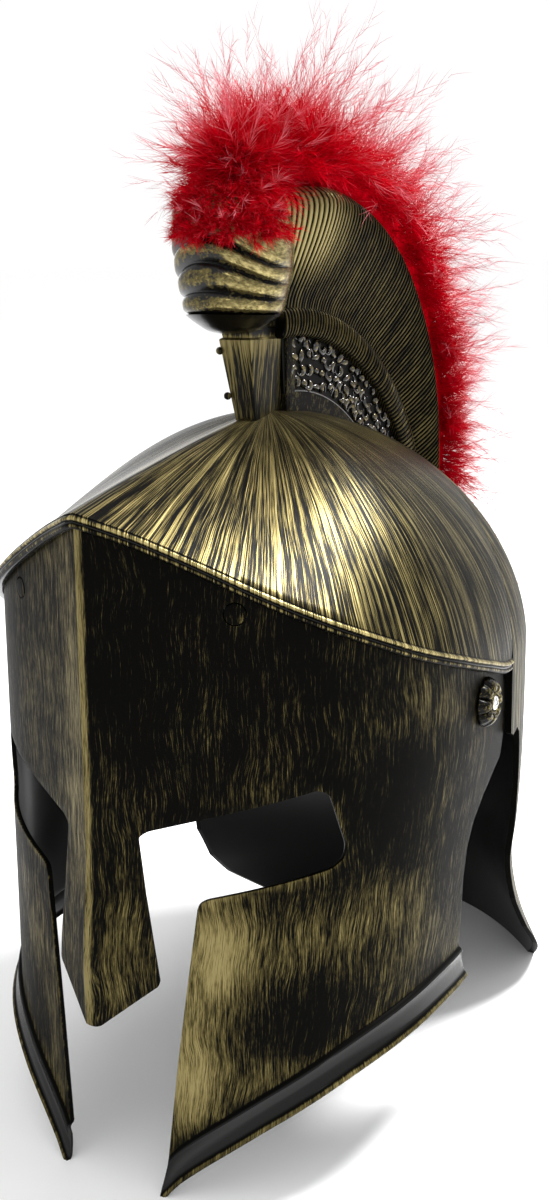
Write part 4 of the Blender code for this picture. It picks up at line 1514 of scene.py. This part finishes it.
def head_roots(rng, count):
    """Quills of the ball of down that sits on the bulge, its lowest ones laid over its side."""
    way = unit(rng.normal(size=(count * 3, 3)))
    way = way[way[:, 2] > -0.8][:count]
    middle = np.array(DOWN_BALL)
    roots = middle + way * np.array(DOWN_REACH)
    levels = np.array([row[0] for row in BULGE_OUTLINE])
    shares = np.array([row[1] for row in BULGE_OUTLINE])
    flat = np.hypot(way[:, 0], way[:, 1])
    bulge = BULGE_REACH[0] * np.interp(roots[:, 2], levels, shares) + 0.5
    out = np.maximum(bulge / np.maximum(DOWN_REACH[0] * flat, 1e-6), 1.0)
    out = np.where(way[:, 2] < 0.0, out, 1.0)
    roots[:, :2] = middle[:2] + (roots[:, :2] - middle[:2]) * out[:, None]
    way = way + rng.normal(0.0, 0.35, way.shape)
    skirt = rng.uniform(size=len(way)) < SKIRT_SHARE
    turn = rng.uniform(*SKIRT_TURN, len(way))
    level = rng.uniform(*SKIRT_HEIGHT, len(way))
    facing = np.stack([np.sin(turn), -np.cos(turn), np.full(len(way), -0.3)], axis=1)
    way = np.where(skirt[:, None], facing + rng.normal(0.0, 0.35, way.shape), way)
    share = np.interp(level, levels, shares) + 0.02
    ring = np.stack([
        BULGE_REACH[0] * share * np.sin(turn),
        BULGE_CENTRE_Y - BULGE_REACH[1] * share * np.cos(turn),
        level,
    ], axis=1)
    roots = np.where(skirt[:, None], ring, roots)
    length = np.where(skirt, 7.0, 17.0)
    return roots, unit(way), length


def within_box(points):
    """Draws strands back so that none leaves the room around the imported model."""
    matrix = np.array(STANDING)
    placed = points.reshape(-1, 3) @ matrix[:3, :3].T + matrix[:3, 3]
    placed = placed.reshape(points.shape)
    low, high = (np.array(corner) for corner in PLUME_ROOM)
    over = np.maximum(placed - high, 0.0) + np.maximum(low - placed, 0.0)
    placed = placed - over
    back = np.linalg.inv(matrix)
    return (placed.reshape(-1, 3) @ back[:3, :3].T + back[:3, 3]).reshape(points.shape)


def plume_barbs(barbs, rng, roots, ways, lengths, curls):
    """Where each feather's barbs spring, their ways and lengths, and the quill that bears each."""
    quills = len(roots)
    along = np.tile(np.linspace(0.08, 1.0, barbs), (quills, 1))
    along += rng.uniform(-0.02, 0.02, along.shape)
    along = np.clip(along, 0.0, 1.0).reshape(-1, 1)
    owner = np.repeat(np.arange(quills), barbs)
    spring = (
        roots[owner] + ways[owner] * along * lengths[owner, None]
        + curls[owner] * along**2 * lengths[owner, None]
    )
    tangent = unit(ways[owner] + 2 * curls[owner] * along)
    facing = unit(np.cross(tangent, rng.normal(size=(len(owner), 3))))
    spread = 0.72 - 0.42 * along
    barb_ways = unit(tangent * (1 - spread * 0.5) + facing * spread)
    barb_length = (12.5 - 5.5 * along[:, 0]) * rng.uniform(0.6, 1.3, len(owner))
    return spring, barb_ways, barb_length, tangent, along[:, 0], owner


def build_plume_part(plume, rng, name, start, end, share, scale, loose_share):
    """One stretch of feathers: its quills, and the barbs along them."""
    quills = int(plume.quills * share)
    if end > start:
        roots, ways, length = crest_roots(rng, quills, start, end)
        lift = 1.0
    else:
        roots, ways, length = head_roots(rng, quills)
        lift = np.clip(1.6 * ways[:, 2] + 0.15, 0.0, 1.6)
    loose = rng.uniform(size=quills) < loose_share * plume.loose * lift
    lengths = length * scale * plume.length / 30.0
    lengths = lengths * np.where(
        loose, rng.uniform(0.80, 1.35, quills), rng.uniform(0.25, 0.66, quills)
    )
    curls = rng.normal(0.0, 0.20, (quills, 3))
    curls[:, 2] -= 0.05
    shafts = strand_points(roots, ways, lengths, curls, 5)
    spring, barb_ways, barb_length, tangent, along, owner = plume_barbs(
        plume.barbs, rng, roots, ways, lengths, curls
    )
    barb_length *= (np.where(loose, 1.0, 0.8) * np.clip(length / 14.0, 0.55, 1.0))[owner]
    barb_curl = rng.normal(0.0, 0.24, (len(owner), 3)) + tangent * 0.25
    points = strand_points(spring, barb_ways, barb_length, barb_curl, 3)
    widths = plume.thickness * rng.uniform(0.7, 1.3, len(owner))
    widths *= np.where(loose, 0.72, 1.0)[owner]
    tints = along * np.where(loose, 1.15, 0.45)[owner]
    tints = np.clip(tints + rng.normal(0.0, 0.08, len(owner)), 0.0, 1.0)
    strand_piece(f"{name}_barbs", within_box(points), widths, tints, "crimson_down")
    widths = np.full(quills, plume.thickness * 1.3)
    tints = np.full(quills, 0.4)
    strand_piece(f"{name}_quills", within_box(shafts), widths, tints, "crimson_down")


def build_plume(plume):
    plume_core()
    rng = np.random.default_rng(plume.seed)
    for part in PLUME_PARTS:
        build_plume_part(plume, rng, *part)


# ---------------------------------------------------------------- materials


class Value:
    """A shader socket that can be used in sums."""

    def __init__(self, shader, socket):
        self.shader = shader
        self.socket = socket

    def maths(self, operation, *others):
        return self.shader.node("ShaderNodeMath", {"operation": operation}, (self, *others))

    def __add__(self, other):
        return self.maths("ADD", other)

    def __radd__(self, other):
        return self.maths("ADD", other)

    def __sub__(self, other):
        return self.maths("SUBTRACT", other)

    def __rsub__(self, other):
        return self.shader.node("ShaderNodeMath", {"operation": "SUBTRACT"}, (other, self))

    def __mul__(self, other):
        return self.maths("MULTIPLY", other)

    def __rmul__(self, other):
        return self.maths("MULTIPLY", other)

    def step(self, low, high):
        """From 0 at low to 1 at high, eased at both ends."""
        return self.shader.node(
            "ShaderNodeMapRange", {"interpolation_type": "SMOOTHSTEP"}, (self, low, high)
        )

    def held(self):
        return self.maths("MINIMUM", 1.0).maths("MAXIMUM", 0.0)


class Shader:
    """A material under construction."""

    def __init__(self, name):
        self.material = bpy.data.materials.new(name)
        self.material.use_nodes = True
        self.tree = self.material.node_tree
        self.surface = self.tree.nodes["Principled BSDF"]

    def node(self, kind, settings=None, inputs=(), output=0):
        made = self.tree.nodes.new(kind)
        for key, value in (settings or {}).items():
            setattr(made, key, value)
        pairs = inputs.items() if isinstance(inputs, dict) else enumerate(inputs)
        for key, value in pairs:
            self.feed(made.inputs[key], value)
        return Value(self, made.outputs[output])

    def feed(self, socket, value):
        if isinstance(value, Value):
            self.tree.links.new(value.socket, socket)
        else:
            socket.default_value = value

    def set(self, **values):
        for key, value in values.items():
            self.feed(self.surface.inputs[key.replace("_", " ")], value)

    def chart(self):
        """The UV map's two directions, in mm."""
        spot = self.node("ShaderNodeUVMap", {"uv_map": "UVMap"})
        split_node = self.tree.nodes.new("ShaderNodeSeparateXYZ")
        self.tree.links.new(spot.socket, split_node.inputs[0])
        return (
            Value(self, split_node.outputs[0]) * 100.0,
            Value(self, split_node.outputs[1]) * 100.0,
        )

    def gold_and_light_amount(self):
        return self.node(
            "ShaderNodeAttribute", {"attribute_name": "gold_and_painted_light"}, output="Fac"
        )

    def noise(self, x, y, z=0.0, detail=3.0, rough=0.55):
        spot = self.node("ShaderNodeCombineXYZ", None, (x, y, z))
        return self.node(
            "ShaderNodeTexNoise", {"noise_dimensions": "3D"},
            {"Vector": spot, "Scale": 1.0, "Detail": detail, "Roughness": rough},
        )

    def blend(self, share, first, second):
        return self.node(
            "ShaderNodeMix", {"data_type": "RGBA"},
            {0: share, 6: (*first, 1.0) if isinstance(first, tuple) else first,
             7: (*second, 1.0) if isinstance(second, tuple) else second},
            output=2,
        )

    def bump(self, height, distance, strength=1.0):
        normal = self.node(
            "ShaderNodeBump", None,
            {"Height": height, "Distance": distance, "Strength": strength},
        )
        self.set(Normal=normal)


def brushed_gold(name, finish, density=0.0, fine=1.2, run=0.08, patch=0.8, hair=2.8, soft=0.5,
                 gloss=0.0, shine=0.1, tone=1.0, pale=1.0, bend=2.0):
    """Near-black plastic with olive gold dry-brushed along the map's height."""
    shader = Shader(name)
    across, along = shader.chart()
    gold_and_light_amount = shader.gold_and_light_amount()
    across = across + (shader.noise(across * 0.03, along * 0.03, 9.0, 1.0) - 0.5) * bend
    hairs = shader.noise(across * fine, along * run, 0.0, 4.0, 0.65)
    strokes = shader.noise(across * (fine * 0.3), along * (run * 0.4), 7.3, 2.0)
    patches = shader.noise(across * 0.05, along * 0.03, 3.1, 3.0)
    grain = shader.noise(across * (fine * 2.6), along * (run * 4.0), 1.7, 2.0)
    height = ((hairs - 0.5) + (strokes - 0.5) * 0.4 + (grain - 0.5) * 0.4) * hair
    paint = height + (patches - 0.5) * patch + gold_and_light_amount + density
    cover = paint.step(-0.12, soft - 0.12)
    thick = paint.step(0.30, 1.10)
    bare = 1.0 - gold_and_light_amount.step(-0.95, -0.55)
    gold = shader.blend(
        thick, tuple(c * tone for c in finish.gold),
        tuple(c * tone * pale for c in finish.pale_gold),
    )
    shader.set(
        Base_Color=shader.blend(cover, tuple(finish.black), gold),
        Metallic=cover * 0.8,
        Roughness=(0.40 - gloss + grain * 0.12 - bare * 0.16).held(),
        Coat_Weight=bare * 0.45 + finish.gloss,
        Coat_Roughness=0.15,
        Specular_IOR_Level=shine,
    )
    shader.bump(hairs * 0.6 + grain * 0.4, 0.00012, 0.6)


def plain_plastic(name, colour, roughness, coat=0.2):
    shader = Shader(name)
    spot = shader.node("ShaderNodeTexCoord", output="Object")
    smudge = shader.node(
        "ShaderNodeTexNoise", None, {"Vector": spot, "Scale": 26.0, "Detail": 3.0}
    )
    shader.set(
        Base_Color=(*colour, 1.0),
        Roughness=smudge * 0.14 + (roughness - 0.07),
        Coat_Weight=coat,
        Coat_Roughness=0.2,
        Specular_IOR_Level=0.3,
    )
    shader.bump(smudge, 0.0002, 0.25)


def brushed_zinc(name):
    shader = Shader(name)
    spot = shader.node("ShaderNodeTexCoord", output="Object")
    grain = shader.node(
        "ShaderNodeTexNoise", None, {"Vector": spot, "Scale": 900.0, "Detail": 2.0}
    )
    shader.set(
        Base_Color=(0.62, 0.62, 0.61, 1.0), Metallic=1.0, Roughness=grain * 0.2 + 0.2
    )


def down_cord(name, plume):
    """The matted down at the feathers' roots."""
    shader = Shader(name)
    spot = shader.node("ShaderNodeTexCoord", output="Object")
    lump = shader.node(
        "ShaderNodeTexNoise", None, {"Vector": spot, "Scale": 160.0, "Detail": 4.0}
    )
    colour = shader.blend(lump.step(0.3, 0.7), tuple(plume.shade), tuple(plume.colour))
    shader.set(Base_Color=colour, Roughness=0.9, Specular_IOR_Level=0.0)
    shader.bump(lump, 0.002, 0.8)


def down(name, plume):
    """Dyed marabou: deep at the root, pink where the barbs thin out."""
    shader = Shader(name)
    across, along = shader.chart()
    tint, reach = across * 0.01, along * 0.01
    middle = shader.blend(tint.step(0.0, 0.35), tuple(plume.shade), tuple(plume.colour))
    pale = shader.blend((tint * 0.9 + reach * 0.3).step(0.5, 1.05), middle, tuple(plume.tip))
    shader.set(Base_Color=pale, Roughness=0.9, Specular_IOR_Level=0.0)


def build_materials(scene):
    finish, plume = scene.helmet_finish, scene.helmet_plume
    brushed_gold(
        "black_gold", finish, 0.0, fine=1.6, run=0.018, patch=0.6, hair=4.2, gloss=0.12,
        shine=0.03,
    )
    brushed_gold("back_gold", finish, -0.16, fine=1.1, run=0.018, patch=0.5, hair=4.0, shine=0.03)
    brushed_gold(
        "mask_gold", finish, -0.23, fine=2.1, run=0.09, hair=2.4, soft=0.9, shine=0.02,
        pale=0.5, bend=9.0,
    )
    brushed_gold(
        "crest_gold", finish, 0.04, fine=0.6, run=0.06, patch=0.3, hair=0.9, shine=0.03,
        tone=0.6, gloss=0.06,
    )
    brushed_gold("crest_dark", finish, -0.16, fine=1.2, run=0.3, patch=0.5, shine=0.05, tone=0.6)
    brushed_gold(
        "relief_gold", finish, 0.0, fine=0.9, run=0.9, patch=0.8, gloss=0.26, shine=0.7, tone=0.8
    )
    brushed_gold("foot_gold", finish, -0.10, fine=0.9, run=0.03, patch=0.3, hair=3.8, pale=0.5)
    brushed_gold(
        "bulge_gold", finish, 0.02, fine=0.35, run=0.8, patch=0.8, hair=2.2, gloss=0.24, shine=0.3
    )
    brushed_gold("rosette_gold", finish, -0.36, fine=1.2, run=0.9, patch=0.5, gloss=0.18)
    brushed_gold("peg_black", finish, -0.34, fine=1.7, run=0.09, patch=0.4, shine=0.02)
    plain_plastic("black_plastic", tuple(finish.black), 0.38)
    brushed_zinc("zinc")
    down("crimson_down", plume)
    down_cord("down_core", plume)


# ---------------------------------------------------------------- settings


class HelmetFinish(PropertyGroup):
    gold: FloatVectorProperty(
        name="Gold", description="Colour of the dry-brushed gold", subtype="COLOR",
        default=(0.125, 0.100, 0.036), min=0.0, max=1.0,
    )
    pale_gold: FloatVectorProperty(
        name="Pale gold", description="Colour where the gold lies thickest", subtype="COLOR",
        default=(0.42, 0.345, 0.15), min=0.0, max=1.0,
    )
    black: FloatVectorProperty(
        name="Black", description="Colour of the bare plastic", subtype="COLOR",
        default=(0.0016, 0.0015, 0.0012), min=0.0, max=1.0,
    )
    gloss: FloatProperty(
        name="Gloss", description="Strength of the clear coat", default=0.0, min=0.0, max=1.0,
    )


class HelmetForm(PropertyGroup):
    shell_columns: IntProperty(
        name="Shell columns", description="Steps round the dome and back", default=240,
    )
    shell_rows: IntProperty(
        name="Shell rows", description="Steps from the crown to the rim", default=48,
    )
    mask_spacing: FloatProperty(
        name="Mask spacing", description="Distance between the mask's lines, mm", default=4.0,
    )
    corner_radius: FloatProperty(
        name="Corner radius", description="Radius of the mask's outline corners, mm",
        default=1.6,
    )
    edge_radius: FloatProperty(
        name="Edge radius", description="Rounding of the mask's edges, mm", default=0.5,
    )
    rib_pitch: FloatProperty(
        name="Rib pitch", description="Angle between the crest's ribs, degrees", default=0.97,
    )
    rib_depth: FloatProperty(
        name="Rib depth", description="Depth of the grooves between them, mm", default=1.1,
    )
    rope_pitch: FloatProperty(
        name="Rope pitch", description="Distance between the rope band's strands, mm",
        default=2.5,
    )


class HelmetPlume(PropertyGroup):
    colour: FloatVectorProperty(
        name="Crimson", description="Colour of the down", subtype="COLOR",
        default=(0.50, 0.001, 0.009), min=0.0, max=1.0,
    )
    shade: FloatVectorProperty(
        name="Deep crimson", description="Colour of the down at its root", subtype="COLOR",
        default=(0.37, 0.0006, 0.005), min=0.0, max=1.0,
    )
    tip: FloatVectorProperty(
        name="Pink", description="Colour of the thin tips", subtype="COLOR",
        default=(0.56, 0.15, 0.18), min=0.0, max=1.0,
    )
    quills: IntProperty(name="Quills", description="Number of feathers", default=3300)
    barbs: IntProperty(name="Barbs", description="Barbs on each feather", default=34)
    loose: FloatProperty(
        name="Loose", description="How many feathers stand out as wisps", default=1.0,
    )
    length: FloatProperty(
        name="Length", description="Usual length of a feather, mm", default=30.0,
    )
    thickness: FloatProperty(
        name="Thickness", description="Width of a barb at its root, mm", default=0.24,
    )
    seed: IntProperty(name="Seed", description="Varies the feathers' lie", default=17)


class HelmetStage(PropertyGroup):
    lens: FloatProperty(
        name="Lens", description="Focal length, mm", default=45.0, subtype="DISTANCE_CAMERA",
    )
    white: FloatVectorProperty(
        name="White", description="Colour of the floor and the room", subtype="COLOR",
        default=(0.98, 0.98, 0.98), min=0.0, max=1.0,
    )
    room: FloatProperty(
        name="Room light", description="Strength of the light from all round", default=1.04,
    )
    key: FloatProperty(
        name="Key light", description="Power of the main light, W", default=34.0,
    )


# ---------------------------------------------------------------- stage

CAMERA_SPOT = (349.98, -421.47, 84.16)
CAMERA_TURN = math.radians(32.221)
CAMERA_RISE = math.radians(11.986)
CAMERA_ROLL = math.radians(-0.6686)

LIGHTS = (  # name, place, target, size, share of the key's power
    ("key", (0.43, 0.50, 1.19), (0.05, -0.08, 0.25), 0.36, 1.0),
    ("wall", (-1.3, 1.1, 0.5), (0.0, -0.05, 0.25), 0.9, 0.08),
    ("front", (0.9, -1.3, 1.1), (0.0, -0.05, 0.25), 0.5, 0.06),
)


def build_stage(stage):
    scene = bpy.context.scene
    world = bpy.data.worlds.new("studio")
    world.use_nodes = True
    room = world.node_tree.nodes["Background"]
    room.inputs["Color"].default_value = (*stage.white, 1.0)
    room.inputs["Strength"].default_value = stage.room
    scene.world = world
    scene.view_settings.view_transform = "Standard"

    bm = bmesh.new()
    bmesh.ops.create_grid(bm, x_segments=1, y_segments=1, size=6.0)
    mesh = bpy.data.meshes.new("floor")
    bm.to_mesh(mesh)
    bm.free()
    shader = Shader("floor_white")
    shader.set(Base_Color=(*stage.white, 1.0), Roughness=0.9)
    mesh.materials.append(shader.material)
    floor = bpy.data.objects.new("floor", mesh)
    scene.collection.objects.link(floor)

    for name, spot, target, size, share in LIGHTS:
        light = bpy.data.lights.new(name, "AREA")
        light.shape = "DISK"
        light.size = size
        light.energy = stage.key * share
        obj = bpy.data.objects.new(name, light)
        obj.location = spot
        way = Vector(target) - Vector(spot)
        obj.rotation_euler = way.to_track_quat("-Z", "Y").to_euler()
        scene.collection.objects.link(obj)

    back = Vector((
        math.sin(CAMERA_TURN) * math.cos(CAMERA_RISE),
        -math.cos(CAMERA_TURN) * math.cos(CAMERA_RISE),
        math.sin(CAMERA_RISE),
    ))
    right = (-back).cross(Vector((0.0, 0.0, 1.0))).normalized()
    turn = Matrix.Rotation(CAMERA_ROLL, 3, back)
    right = turn @ right
    up = back.cross(right)
    camera = bpy.data.objects.new("camera", bpy.data.cameras.new("camera"))
    camera.data.lens = stage.lens
    camera.data.sensor_width = 36.0
    camera.data.dof.use_dof = False
    camera.data.clip_end = 20.0
    lean = STANDING.to_3x3().normalized()
    axes = Matrix((right, up, back)).transposed()
    camera.matrix_world = (
        Matrix.Translation(STANDING @ Vector(CAMERA_SPOT)) @ (lean @ axes).to_4x4()
    )
    scene.collection.objects.link(camera)
    scene.camera = camera


# ---------------------------------------------------------------- operators


class BuildStage(Operator):
    """Sets up the floor, the lights and the camera"""

    bl_idname = "helmet.stage"
    bl_label = "Stage"

    def execute(self, context):
        build_stage(context.scene.helmet_stage)
        return {"FINISHED"}


class BuildMaterials(Operator):
    """Makes the gold, plastic, zinc and down materials"""

    bl_idname = "helmet.materials"
    bl_label = "Materials"

    def execute(self, context):
        build_materials(context.scene)
        return {"FINISHED"}


class BuildDome(Operator):
    """Builds the dome with its beaded rim and the band inside it"""

    bl_idname = "helmet.dome"
    bl_label = "Dome"

    def execute(self, context):
        build_dome(context.scene.helmet_form)
        return {"FINISHED"}


class BuildBackShell(Operator):
    """Builds the back of the shell and its neck guard"""

    bl_idname = "helmet.back_shell"
    bl_label = "Back shell"

    def execute(self, context):
        build_back_shell(context.scene.helmet_form)
        return {"FINISHED"}


class BuildFaceMask(Operator):
    """Builds the face mask with its eye slots, nose guard and lip"""

    bl_idname = "helmet.face_mask"
    bl_label = "Face mask"

    def execute(self, context):
        build_face_mask(context.scene.helmet_form)
        return {"FINISHED"}


class BuildFasteners(Operator):
    """Builds the forehead pegs, the rosettes and their screws"""

    bl_idname = "helmet.fasteners"
    bl_label = "Fasteners"

    def execute(self, context):
        build_pegs()
        build_rosettes()
        build_screws()
        return {"FINISHED"}


class BuildCrest(Operator):
    """Builds the crest: body, bulge, foot and the fan of bands under it"""

    bl_idname = "helmet.crest"
    bl_label = "Crest"

    def execute(self, context):
        form = context.scene.helmet_form
        build_crest_body(form)
        build_bulge()
        build_foot()
        build_fan(form)
        build_scrollwork()
        return {"FINISHED"}


class BuildPlume(Operator):
    """Builds the feather plume on the crest's outer edge"""

    bl_idname = "helmet.plume"
    bl_label = "Plume"

    def execute(self, context):
        build_plume(context.scene.helmet_plume)
        return {"FINISHED"}


SETTINGS = {
    "helmet_finish": HelmetFinish,
    "helmet_form": HelmetForm,
    "helmet_plume": HelmetPlume,
    "helmet_stage": HelmetStage,
}
STEPS = (
    BuildStage, BuildMaterials, BuildDome, BuildBackShell, BuildFaceMask, BuildFasteners,
    BuildCrest, BuildPlume,
)


class HelmetPanel(Panel):
    """Lists the helmet's settings and steps"""

    bl_idname = "VIEW3D_PT_helmet"
    bl_label = "Spartan Helmet"
    bl_space_type = "VIEW_3D"
    bl_region_type = "UI"
    bl_category = "Helmet"

    def draw(self, context):
        layout, scene = self.layout, context.scene
        for key in SETTINGS:
            group = getattr(scene, key)
            box = layout.box()
            for name in group.bl_rna.properties.keys():
                if name not in ("rna_type", "name"):
                    box.prop(group, name)
        for step in STEPS:
            layout.operator(step.bl_idname)


def register():
    for group in SETTINGS.values():
        bpy.utils.register_class(group)
    for key, group in SETTINGS.items():
        setattr(bpy.types.Scene, key, PointerProperty(type=group))
    for step in STEPS:
        bpy.utils.register_class(step)
    bpy.utils.register_class(HelmetPanel)


def unregister():
    bpy.utils.unregister_class(HelmetPanel)
    for step in reversed(STEPS):
        bpy.utils.unregister_class(step)
    for key in SETTINGS:
        delattr(bpy.types.Scene, key)
    for group in reversed(SETTINGS.values()):
        bpy.utils.unregister_class(group)


def main():
    register()
    for step in STEPS:
        group, name = step.bl_idname.split(".")
        getattr(getattr(bpy.ops, group), name)()


if __name__ == "__main__":
    main()
